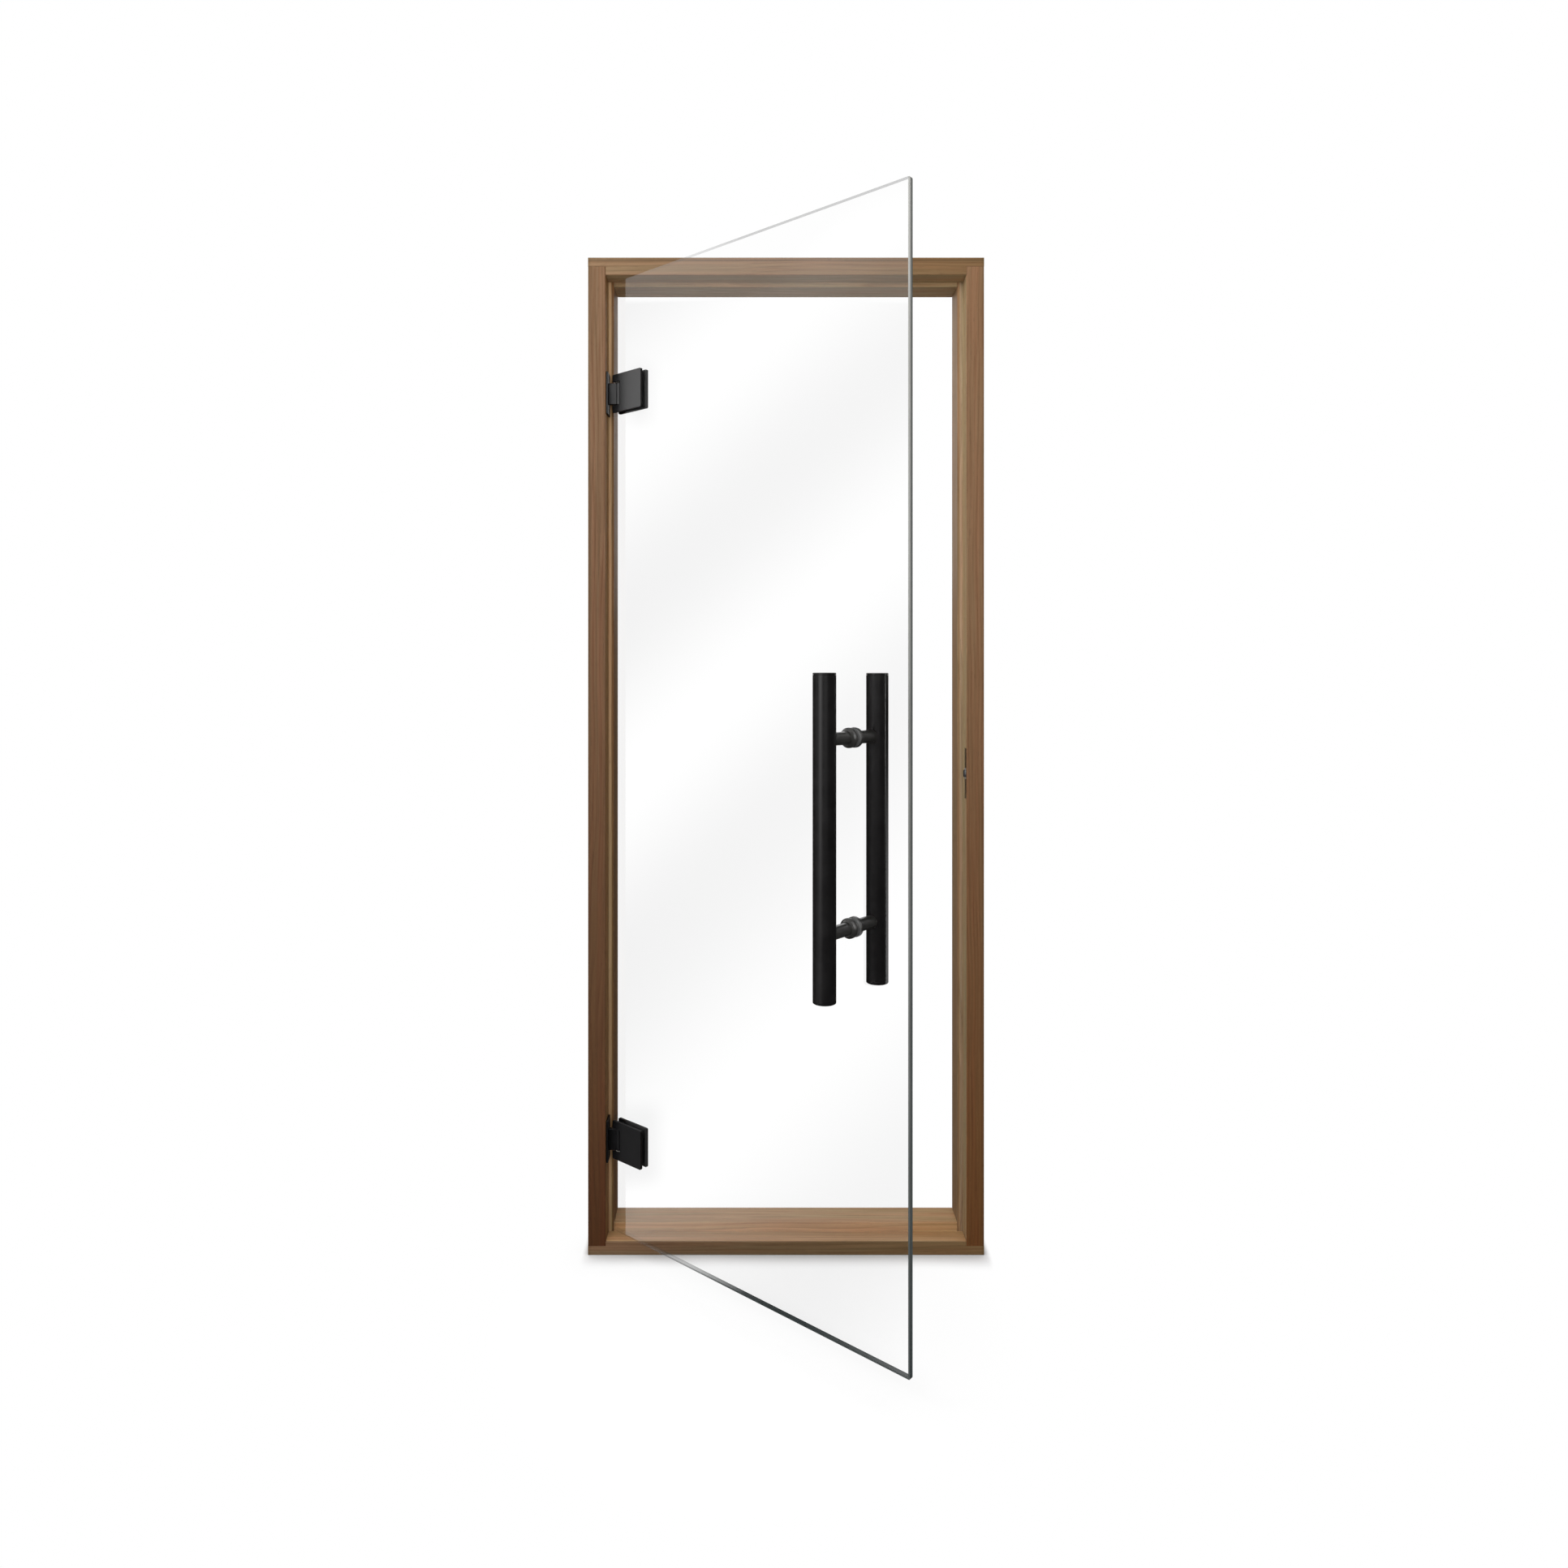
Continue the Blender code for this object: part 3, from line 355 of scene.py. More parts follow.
def make_wood(name, grain, heart, tone, front_shades, reveal_shading=None, dark_line=None):
    """Oiled wood with its grain along X or Z, from a tree whose heart lies beside the member.

    front_shades holds the front face's painted shade at the member's two ends. reveal_shading holds a
    jamb's painted shade and highlight for the stop's inner side, its face and the rebate's side, darker
    toward the foot.
    """
    material, tree, surface = new_material(name)
    place = place_of(tree)
    turn = (0, -math.pi / 2, 0) if grain == "X" else (0, 0, 0)
    board = add_node(tree, "ShaderNodeMapping", {"Vector": place, "Location": heart, "Rotation": turn})
    board = board.outputs["Vector"]

    slow = add_node(tree, "ShaderNodeMapping", {"Vector": board, "Scale": (1, 1, 0.16)}).outputs["Vector"]
    bend = add_node(tree, "ShaderNodeTexNoise", {"Vector": slow, "Scale": 7.0, "Detail": 2.0})
    bend_off = vector_sum(tree, "SUBTRACT", bend.outputs["Color"], (0.5, 0.5, 0.5))
    bend_off = vector_sum(tree, "MULTIPLY", bend_off, (GRAIN_BEND, GRAIN_BEND, 0))
    bent = vector_sum(tree, "ADD", board, bend_off)
    radius = measure_of(tree, "LENGTH", vector_sum(tree, "MULTIPLY", bent, (1, 1, 0)))
    ring = sum_of(tree, "FRACT", sum_of(tree, "DIVIDE", radius, RING_PITCH), 0)
    ring_shade = colour_stops(tree, ring, [(share, (level, level, level)) for share, level in RING_SHADES])
    streaks = noise_of(tree, bent, 240.0, 5.0, stretch=0.022)
    fibre = noise_of(tree, bent, 1500.0, 2.0, stretch=0.030)
    bands = noise_of(tree, bent, 85.0, 3.0, stretch=0.020)
    pores = ramp_of(tree, fibre, 0.62, 0.74)

    grain_shade = sum_of(tree, "MULTIPLY", ring_shade, 0.50)
    grain_shade = sum_of(tree, "ADD", grain_shade, ramp_of(tree, streaks, 0.30, 0.70, 0.0, 0.62))
    colour = blend_of(tree, grain_shade, WOOD_LIGHT, WOOD_DARK)
    band_tint = blend_of(tree, ramp_of(tree, bands, 0.38, 0.62), WOOD_OLIVE, WOOD_RED)
    colour = blend_of(tree, 1.0, colour, band_tint, "MULTIPLY")
    colour = blend_of(tree, 1.0, colour, tone, "MULTIPLY")
    colour = blend_of(tree, sum_of(tree, "MULTIPLY", pores, 0.45), colour, PORE_COLOUR)

    parts = add_node(tree, "ShaderNodeSeparateXYZ", {"Vector": place})
    drift = sum_of(tree, "MULTIPLY_ADD", bend.outputs["Fac"], 0.4, -0.2)
    spot = ramp_of(tree, sum_of(tree, "ADD", drift, parts.outputs[grain]), *MEMBER_SPANS[grain])
    front = sum_of(tree, "LESS_THAN", parts.outputs["Y"], FRONT_FACE_Y)
    # Painted shade: the front face is darkened, most at a jamb's foot and toward the head's latch end, and
    # all along the sill.
    colour = blend_of(tree, front, colour, blend_of(tree, spot, *front_shades), "MULTIPLY")
    side = sum_of(tree, "ABSOLUTE", parts.outputs["X"], 0)
    # Painted shade: a dark strip along the outer front arris, on the front face and on the side just
    # behind it.
    arris_shade = ramp_of(tree, side, *ARRIS_X, 0.0, 0.7, smooth=True)
    arris_shade = sum_of(tree, "MULTIPLY", arris_shade, ramp_of(tree, parts.outputs["Y"], *ARRIS_Y))
    colour = blend_of(tree, arris_shade, colour, ARRIS_SHADE_TONE, "MULTIPLY")
    # Painted shade and highlight behind a jamb's front: the stop's inner side, its face and the rebate's
    # side are each darkened or lightened by how light falls on them, and all are painted darker toward the
    # foot and lighter at the top.
    if reveal_shading:
        from_foot = ramp_of(tree, parts.outputs["Z"], *MEMBER_SPANS["Z"], FOOT_SHADE, TOP_SHADE)
        rebated = sum_of(tree, "LESS_THAN", parts.outputs["Y"], 0.0)
        rebated = sum_of(tree, "MULTIPLY", rebated, sum_of(tree, "SUBTRACT", 1.0, front))
        low, high, limit = STOP_OUTER_X
        on_stop = ramp_of(tree, side, low, high)
        on_stop = sum_of(tree, "MULTIPLY", on_stop, sum_of(tree, "LESS_THAN", side, limit))
        low, high = REBATE_SIDE_X
        on_side = sum_of(tree, "GREATER_THAN", side, low)
        on_side = sum_of(tree, "MULTIPLY", on_side, sum_of(tree, "LESS_THAN", side, high))
        painted_shading_masks = (
            ramp_of(tree, side, *STOP_MIDDLE_X, 1.0, 0.0, smooth=True),
            sum_of(tree, "MULTIPLY", on_stop, rebated),
            sum_of(tree, "MULTIPLY", on_side, rebated),
        )
        for share, tint in zip(painted_shading_masks, reveal_shading):
            colour = blend_of(tree, share, colour, shade_of(tree, tint, from_foot), "MULTIPLY")
    if dark_line:
        off_line = sum_of(tree, "ABSOLUTE", sum_of(tree, "SUBTRACT", parts.outputs["Z"], dark_line), 0)
        line = ramp_of(tree, off_line, 0.0030, 0.0008, 0.0, 0.55, smooth=True)
        line = sum_of(tree, "MULTIPLY", line, front)
        colour = blend_of(tree, line, colour, LINE_TONE, "MULTIPLY")
    tree.links.new(colour, surface.inputs["Base Color"])

    tree.links.new(ramp_of(tree, streaks, 0.3, 0.7, 0.46, 0.62), surface.inputs["Roughness"])
    surface.inputs["Specular IOR Level"].default_value = 0.20
    relief = sum_of(tree, "SUBTRACT", sum_of(tree, "MULTIPLY", ring_shade, 0.35), pores)
    bump = add_node(tree, "ShaderNodeBump", {"Strength": 0.35, "Distance": 0.00025, "Height": relief})
    tree.links.new(bump.outputs["Normal"], surface.inputs["Normal"])
    return material


def dress(node, material):
    """Give a CAD node its finish."""
    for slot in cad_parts[node].material_slots:
        slot.material = material


# Painted shade on the front faces, from the foot up or from the hinge side across, and a jamb's painted
# shade and highlight behind its front face
HINGE_JAMB_FRONT_SHADE = ((0.20, 0.10, 0.05, 1), (0.60, 0.50, 0.50, 1))
HINGE_JAMB_REVEAL_SHADING = ((0.65, 0.50, 0.35), (1.80, 1.80, 2.00), (0.75, 0.60, 0.45))
LATCH_JAMB_FRONT_SHADE = ((0.35, 0.20, 0.10, 1), (0.70, 0.60, 0.60, 1))
LATCH_JAMB_REVEAL_SHADING = ((0.75, 0.70, 0.70), (1.10, 1.20, 1.50), (1.10, 1.20, 1.30))
HEAD_FRONT_SHADE = ((0.70, 0.65, 0.65, 1), (0.55, 0.45, 0.35, 1))
SILL_FRONT_SHADE = ((0.40, 0.40, 0.45, 1), (0.40, 0.40, 0.35, 1))
hinge_jamb_wood = make_wood(
    "hinge jamb wood", "Z", (0.43, 0.12, 0.3), (0.88, 0.78, 0.62, 1), HINGE_JAMB_FRONT_SHADE, HINGE_JAMB_REVEAL_SHADING
)
latch_jamb_wood = make_wood(
    "latch jamb wood", "Z", (-0.30, 0.13, 1.7), (1.0, 0.90, 0.76, 1), LATCH_JAMB_FRONT_SHADE, LATCH_JAMB_REVEAL_SHADING
)
head_wood = make_wood(
    "head wood", "X", (1.93, 0.11, 0.9), (1.02, 0.92, 0.80, 1), HEAD_FRONT_SHADE, dark_line=HEAD_LINE_Z
)
sill_wood = make_wood("sill wood", "X", (0.07, 0.09, 0.2), (1.17, 0.96, 0.77, 1), SILL_FRONT_SHADE)
dress("hinge_jamb", hinge_jamb_wood)
dress("latch_jamb", latch_jamb_wood)
dress("head", head_wood)
dress("sill", sill_wood)


# Wall plates of the two hinges. Each is one casting of plate, web and knuckle, powder coated in
# satin black, and held in the rebate by four countersunk cross-head screws.
COAT_COLOUR = (0.0042, 0.0041, 0.0044)
HINGE_HEIGHTS = {"upper": 1.722, "lower": 0.224}
PLATE_FACE_X = -0.3557
PLATE_SCREW_RISE = 0.0325
SUNK = 0.0002
SCREW_SIDES = 32
SMOOTH_ANGLE = math.radians(30)


def make_black_coat(name, roughness, gloss, colour=COAT_COLOUR):
    """Satin black powder coat, with its fine orange peel and a faint unevenness in its sheen."""
    material, tree, surface = new_material(name)
    place = place_of(tree)
    cloud = noise_of(tree, place, 45.0, 3.0)
    tint = shade_of(tree, colour, ramp_of(tree, cloud, 0.3, 0.7, 0.8, 1.25))
    tree.links.new(tint, surface.inputs["Base Color"])
    sheen = ramp_of(tree, cloud, 0.3, 0.7, roughness - 0.03, roughness + 0.04)
    tree.links.new(sheen, surface.inputs["Roughness"])
    surface.inputs["Specular IOR Level"].default_value = gloss
    peel = noise_of(tree, place, 1100.0, 2.0)
    bump = add_node(tree, "ShaderNodeBump", {"Strength": 0.12, "Distance": 0.0001, "Height": peel})
    tree.links.new(bump.outputs["Normal"], surface.inputs["Normal"])
    return material


hinge_coat = make_black_coat("hinge powder coat", 0.38, 0.35)
plate_coat = make_black_coat("wall plate powder coat", 0.44, 0.25)
# The lower hinge gets a darker copy of the same satin black: painted shade, as less light reaches it than
# the upper hinge.
low_hinge_shaded_coat = make_black_coat("low hinge shaded powder coat", 0.42, 0.18, (0.0032, 0.0031, 0.0036))
dress("upper_wall_plate", plate_coat)
dress("lower_wall_plate", low_hinge_shaded_coat)


def edit(piece):
    """Open a piece in edit mode with nothing selected."""
    bpy.ops.object.select_all(action="DESELECT")
    piece.select_set(True)
    bpy.context.view_layer.objects.active = piece
    bpy.ops.object.mode_set(mode="EDIT")
    bpy.ops.mesh.select_all(action="DESELECT")


def turn_piece(name, stations, sides):
    """Raise a ring through (radius, height) stations, as on a lathe, about an upright axis.

    A last station equal to the first closes the wall round a bore. Otherwise both ends are filled.
    """
    bpy.ops.object.select_all(action="DESELECT")
    radius, height = stations[0]
    bpy.ops.mesh.primitive_circle_add(vertices=sides, radius=radius, fill_type="NOTHING")
    piece = bpy.context.object
    piece.name = name
    bpy.ops.object.mode_set(mode="EDIT")
    bpy.ops.mesh.select_all(action="SELECT")
    bpy.ops.transform.translate(value=(0, 0, height))
    for next_radius, next_height in stations[1:]:
        rise = (0, 0, next_height - height)
        bpy.ops.mesh.extrude_region_move(TRANSFORM_OT_translate={"value": rise})
        swell = next_radius / radius
        bpy.ops.transform.resize(value=(swell, swell, 1), center_override=(0, 0, next_height))
        radius, height = next_radius, next_height
    bpy.ops.mesh.select_all(action="SELECT")
    if stations[0] == stations[-1]:
        bpy.ops.mesh.remove_doubles(threshold=1e-6)
    else:
        bpy.ops.mesh.fill_holes(sides=0)
    bpy.ops.mesh.select_all(action="SELECT")
    bpy.ops.mesh.normals_make_consistent(inside=False)
    bpy.ops.object.mode_set(mode="OBJECT")
    bpy.ops.object.shade_smooth_by_angle(angle=SMOOTH_ANGLE)
    return piece


def cut_away(piece, cutter):
    """Take a cutter's shape out of a piece, and put the cutter away."""
    modifier = piece.modifiers.new("cut", "BOOLEAN")
    modifier.operation = "DIFFERENCE"
    modifier.object = cutter
    bpy.ops.object.select_all(action="DESELECT")
    bpy.context.view_layer.objects.active = piece
    bpy.ops.object.modifier_apply(modifier=modifier.name)
    bpy.data.objects.remove(cutter, do_unlink=True)


def copy_to(piece, name, place):
    """A copy with its own mesh, and with its place written into that mesh."""
    twin = piece.copy()
    twin.data = piece.data.copy()
    twin.name = name
    bpy.context.scene.collection.objects.link(twin)
    bpy.ops.object.select_all(action="DESELECT")
    twin.select_set(True)
    bpy.context.view_layer.objects.active = twin
    twin.matrix_world = place
    bpy.ops.object.transform_apply(location=True, rotation=True, scale=True)
    return twin


def make_screw(name, head_radius, shank_radius, length, socket):
    """A countersunk screw, head up, with a cross or hexagon socket in its head."""
    rim = 0.0003
    neck = -(head_radius - shank_radius)
    stations = [
        (head_radius - rim, 0),
        (head_radius, -rim),
        (shank_radius, neck - rim),
        (shank_radius, -length + shank_radius / 2),
        (shank_radius / 2, -length),
    ]
    screw = turn_piece(name, stations, SCREW_SIDES)
    if socket == "hexagon":
        width, depth = head_radius * 0.46, head_radius * 0.9
        bpy.ops.mesh.primitive_cylinder_add(vertices=6, radius=width, depth=depth)
        cut_away(screw, bpy.context.object)
    else:
        arm, width, depth = head_radius * 1.15, head_radius * 0.26, head_radius * 0.8
        for size in ((arm, width, depth), (width, arm, depth)):
            bpy.ops.mesh.primitive_cube_add(size=1, scale=size)
            cut_away(screw, bpy.context.object)
    return screw


screw_coat = make_black_coat("blackened screw steel", 0.34, 0.35, (0.012, 0.0115, 0.011))
plate_screw = make_screw("plate_screw", 0.0042, 0.0021, 0.0040, "cross")
plate_screw.data.materials.append(screw_coat)
number = 0
for level, height in HINGE_HEIGHTS.items():
    for y in (-0.038, -0.022):
        for rise in (-PLATE_SCREW_RISE, PLATE_SCREW_RISE):
            number += 1
            spin = Matrix.Rotation(0.5 + 1.3 * number, 4, "Z")
            place = Matrix.Translation((PLATE_FACE_X - SUNK, y, height + rise))
            place = place @ Matrix.Rotation(math.pi / 2, 4, "Y") @ spin
            screw = copy_to(plate_screw, f"plate_screw_{number}", place)
            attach(screw, "frame")
bpy.data.objects.remove(plate_screw, do_unlink=True)


# Hinge pins and thrust washers. A ground steel pin stands in the clamp's two bosses and passes
# through the knuckle, which turns between two pale nylon washers.
REST_OPENING = math.radians(40.5)
DOOR_PLACE = Matrix.Translation((-0.335, -0.031, 0)) @ Matrix.Rotation(-REST_OPENING, 4, "Z")
PIN_RADIUS = 0.0040
PIN_HALF = 0.0289
PIN_CHAMFER = 0.0006
WASHER_FOOT = 0.0223
WASHER_TOP = 0.0231
WASHER_BORE = 0.0043
WASHER_RADIUS = 0.0070

steel, tree, surface = new_material("ground steel")
surface.inputs["Base Color"].default_value = (0.60, 0.60, 0.62, 1)
surface.inputs["Metallic"].default_value = 1.0
turned = noise_of(tree, place_of(tree), 90.0, 3.0, stretch=60)
tree.links.new(ramp_of(tree, turned, 0.0, 1.0, 0.20, 0.42), surface.inputs["Roughness"])

# The nylon's colour is painted darker than pale nylon: painted shade, for washers and a fork that sit in
# shade between other parts.
nylon, tree, surface = new_material("pale nylon")
cloud = noise_of(tree, place_of(tree), 160.0, 3.0)
tint = blend_of(tree, cloud, (0.25, 0.235, 0.205, 1), (0.32, 0.305, 0.275, 1))
tree.links.new(tint, surface.inputs["Base Color"])
tree.links.new(ramp_of(tree, cloud, 0.0, 1.0, 0.48, 0.60), surface.inputs["Roughness"])
surface.inputs["Subsurface Weight"].default_value = 0.1
surface.inputs["Subsurface Radius"].default_value = (0.002, 0.0015, 0.001)
surface.inputs["Subsurface Scale"].default_value = 0.5

pin_stations = [
    (PIN_RADIUS - PIN_CHAMFER, -PIN_HALF),
    (PIN_RADIUS, PIN_CHAMFER - PIN_HALF),
    (PIN_RADIUS, PIN_HALF - PIN_CHAMFER),
    (PIN_RADIUS - PIN_CHAMFER, PIN_HALF),
]
pin = turn_piece("pin", pin_stations, 40)
pin.data.materials.append(steel)
washer_stations = [
    (WASHER_BORE, WASHER_FOOT),
    (WASHER_RADIUS - 0.0002, WASHER_FOOT),
    (WASHER_RADIUS, WASHER_FOOT + 0.0002),
    (WASHER_RADIUS, WASHER_TOP - 0.0002),
    (WASHER_RADIUS - 0.0002, WASHER_TOP),
    (WASHER_BORE, WASHER_TOP),
    (WASHER_BORE, WASHER_FOOT),
]
washer = turn_piece("washer", washer_stations, 40)
washer.data.materials.append(nylon)
for level, height in HINGE_HEIGHTS.items():
    centre = DOOR_PLACE @ Matrix.Translation((0, 0, height))
    piece = copy_to(pin, f"{level}_pin", centre)
    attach(piece, "door")
    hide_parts(f"{level}_hinge_pin")
    for end, turn in (("top", 0), ("bottom", math.pi)):
        piece = copy_to(washer, f"{level}_{end}_washer", centre @ Matrix.Rotation(turn, 4, "X"))
        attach(piece, "door")
        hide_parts(f"{level}_hinge_{end}_washer")
bpy.data.objects.remove(pin, do_unlink=True)
bpy.data.objects.remove(washer, do_unlink=True)


# Glass. One pane of 8 mm clear tempered glass, cut out round both knuckles, drilled for its
# fittings, and ground and polished along its edges, which look grey-green. The dark of the free
# edge and of the lower edge shows through the faces beside them.
GLASS_LEFT = -0.015
GLASS_RIGHT = 0.689
GLASS_BOTTOM = 0.038
GLASS_TOP = 1.948
GLASS_THICKNESS = 0.008
GLASS_CORNER = 0.003
CHAMFER = 0.0012
EDGE_BAND = 0.6856
LOW_BAND = 0.0413
LONG_EDGE_END = 0.685
FACE_TILT = 0.99
CUTOUT_END = 0.015
CUTOUT_HALF = 0.0332
NOTCH_HALF = 0.02
NOTCH_CORNER = 0.008
HANDLE_U = 0.573
POST_HEIGHTS = {"upper": 1.0525, "lower": 0.7375}
CLAMP_SCREW_U = 0.050
CLAMP_SCREW_RISE = 0.020

bpy.ops.object.select_all(action="DESELECT")
bpy.ops.mesh.primitive_cube_add(
    size=1,
    location=((GLASS_LEFT + GLASS_RIGHT) / 2, 0, (GLASS_BOTTOM + GLASS_TOP) / 2),
    scale=(GLASS_RIGHT - GLASS_LEFT, GLASS_THICKNESS, GLASS_TOP - GLASS_BOTTOM),
)
pane = bpy.context.object
pane.name = "pane"
bpy.ops.object.transform_apply(location=True, rotation=True, scale=True)


def bevel_edges(piece, test, width, segments):
    """Round off the edges that pass a test of their two ends."""
    edit(piece)
    shape = bmesh.from_edit_mesh(piece.data)
    for edge in shape.edges:
        edge.select_set(test(*(end.co for end in edge.verts)))
    bmesh.update_edit_mesh(piece.data)
    bpy.ops.mesh.bevel(offset=width, segments=segments, affect="EDGES")
    bpy.ops.object.mode_set(mode="OBJECT")


def runs_through(start, end):
    """Whether an edge runs straight through the thickness of the glass."""
    return abs(start.x - end.x) < 1e-6 and abs(start.z - end.z) < 1e-6


bevel_edges(pane, runs_through, GLASS_CORNER, 5)
for height in HINGE_HEIGHTS.values():
    bpy.ops.object.select_all(action="DESELECT")
    bpy.ops.mesh.primitive_cube_add(
        size=1,
        location=(CUTOUT_END - NOTCH_HALF, 0, height),
        scale=(2 * NOTCH_HALF, 2 * NOTCH_HALF, 2 * CUTOUT_HALF),
    )
    notch = bpy.context.object
    bpy.ops.object.transform_apply(location=True, rotation=True, scale=True)
    bevel_edges(notch, lambda start, end: runs_through(start, end) and start.x > 0, NOTCH_CORNER, 6)
    cut_away(pane, notch)
holes = [(HANDLE_U, height, 0.006) for height in POST_HEIGHTS.values()]
for height in HINGE_HEIGHTS.values():
    holes += [(CLAMP_SCREW_U, height + rise, 0.007) for rise in (-CLAMP_SCREW_RISE, CLAMP_SCREW_RISE)]
for u, height, radius in holes:
    bpy.ops.object.select_all(action="DESELECT")
    bpy.ops.mesh.primitive_cylinder_add(
        vertices=32, radius=radius, depth=0.03, location=(u, 0, height), rotation=(math.pi / 2, 0, 0)
    )
    cut_away(pane, bpy.context.object)
chamfer = pane.modifiers.new("ground edges", "BEVEL")
chamfer.width = CHAMFER
chamfer.segments = 1
chamfer.limit_method = "ANGLE"
chamfer.angle_limit = math.radians(60)
bpy.context.view_layer.objects.active = pane
bpy.ops.object.modifier_apply(modifier=chamfer.name)

edit(pane)
for point, across in (((EDGE_BAND, 0, 0), (1, 0, 0)), ((0, 0, LOW_BAND), (0, 0, 1))):
    bpy.ops.mesh.select_all(action="SELECT")
    bpy.ops.mesh.bisect(plane_co=point, plane_no=across)
bpy.ops.object.mode_set(mode="OBJECT")

clear, tree = bare_material("clear glass face")
one_side = add_node(tree, "ShaderNodeFresnel", {"IOR": 1.5}).outputs["Fac"]
twice = sum_of(tree, "MULTIPLY", one_side, 2.0)
both_sides = sum_of(tree, "DIVIDE", twice, sum_of(tree, "ADD", one_side, 1.0))
facing = add_node(tree, "ShaderNodeNewGeometry").outputs["Backfacing"]
mirror_share = sum_of(tree, "MULTIPLY", both_sides, sum_of(tree, "SUBTRACT", 1.0, facing))
through = add_node(tree, "ShaderNodeBsdfTransparent", {"Color": WHITE}).outputs[0]
mirror = add_node(tree, "ShaderNodeBsdfGlossy", {"Color": WHITE, "Roughness": 0.0}).outputs[0]
face = add_node(tree, "ShaderNodeMixShader", {0: mirror_share, 1: through, 2: mirror})
add_node(tree, "ShaderNodeOutputMaterial", {"Surface": face.outputs[0]})


def make_edge(name, front_shading, back_shading, clearness=None):
    """A polished edge, with a tone at its foot and one at its top, both beside the front face and
    beside the back face. It can be partly clear, more so up high and toward the hinges."""
    material, tree, surface = new_material(name)
    place = place_of(tree)
    parts = add_node(tree, "ShaderNodeSeparateXYZ", {"Vector": place})
    height = ramp_of(tree, parts.outputs["Z"], 0.0, 1.95)
    from_hinge = vector_sum(tree, "SUBTRACT", place, DOOR_PLACE.translation)
    across = measure_of(tree, "DOT_PRODUCT", from_hinge, DOOR_PLACE.to_3x3().col[1])
    # Painted shade and light: the edge is darker at its foot and lighter at its top.
    front_tone = blend_of(tree, height, *front_shading)
    back_tone = blend_of(tree, height, *back_shading)
    tone = blend_of(tree, ramp_of(tree, across, -0.0008, 0.0008), front_tone, back_tone)
    shimmer = noise_of(tree, place, 60.0, 2.0, stretch=0.12)
    tint = shade_of(tree, tone, ramp_of(tree, shimmer, 0.3, 0.7, 0.88, 1.1))
    tree.links.new(tint, surface.inputs["Base Color"])
    surface.inputs["Roughness"].default_value = 0.12
    if clearness:
        opacity = ramp_of(tree, parts.outputs["Z"], 0.9, 1.1, *clearness)
        near_hinge = ramp_of(tree, parts.outputs["X"], -0.28, -0.08, 0.10, 1.0)
        tree.links.new(sum_of(tree, "MULTIPLY", opacity, near_hinge), surface.inputs["Alpha"])
    return material


# Painted shade and light on the polished edges: dark at the foot, lighter at the top, and the free edge
# lighter beside the front face.
FREE_EDGE_FRONT_SHADING = ((0.04, 0.05, 0.05, 1), (0.40, 0.40, 0.38, 1))
FREE_EDGE_BACK_SHADING = ((0.09, 0.11, 0.11, 1), (0.13, 0.14, 0.13, 1))
LONG_EDGE_SHADING = ((0.04, 0.05, 0.05, 1), (0.17, 0.17, 0.17, 1))
pane.data.materials.append(clear)
pane.data.materials.append(make_edge("polished free edge", FREE_EDGE_FRONT_SHADING, FREE_EDGE_BACK_SHADING))
pane.data.materials.append(make_edge("polished long edge", LONG_EDGE_SHADING, LONG_EDGE_SHADING, (1.0, 0.42)))
edit(pane)
shape = bmesh.from_edit_mesh(pane.data)
for number, test in (
    (1, lambda n, c: abs(n.y) < FACE_TILT or c.x > EDGE_BAND),
    (2, lambda n, c: (abs(n.y) < FACE_TILT or c.z < LOW_BAND) and c.x < LONG_EDGE_END),
):
    bpy.ops.mesh.select_all(action="DESELECT")
    for side in shape.faces:
        side.select_set(test(side.normal, side.calc_center_median()))
    bmesh.update_edit_mesh(pane.data)
    pane.active_material_index = number
    bpy.ops.object.material_slot_assign()
bpy.ops.mesh.select_all(action="SELECT")
bpy.ops.mesh.normals_make_consistent(inside=False)
bpy.ops.object.mode_set(mode="OBJECT")
pane.matrix_world = DOOR_PLACE
bpy.ops.object.transform_apply(location=True, rotation=True, scale=True)
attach(pane, "door")
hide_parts("glass_pane")


# Glass clamps. An inner body whose bosses hold the pin and an outer cover close on the pane over
# two thin gaskets, drawn together by two hexagon-socket screws from the inside.
CLAMP_FACE_V = 0.0104

dress("upper_clamp_body", hinge_coat)
# The lower clamp takes the lower hinge's darker coat, which is painted shade.
dress("lower_clamp_body", low_hinge_shaded_coat)
dress("upper_clamp_cover", hinge_coat)
dress("lower_clamp_cover", low_hinge_shaded_coat)


def make_rubber(name, darkest, palest):
    """Matt rubber with a fine cloudiness."""
    material, tree, surface = new_material(name)
    cloud = noise_of(tree, place_of(tree), 700.0, 3.0)
    tree.links.new(blend_of(tree, cloud, darkest, palest), surface.inputs["Base Color"])
    tree.links.new(ramp_of(tree, cloud, 0.0, 1.0, 0.62, 0.80), surface.inputs["Roughness"])
    surface.inputs["Specular IOR Level"].default_value = 0.2
    return material


gasket_rubber = make_rubber("dark gasket rubber", (0.010, 0.010, 0.010, 1), (0.018, 0.018, 0.018, 1))
for level in HINGE_HEIGHTS:
    dress(f"{level}_outer_gasket", gasket_rubber)
    dress(f"{level}_inner_gasket", gasket_rubber)

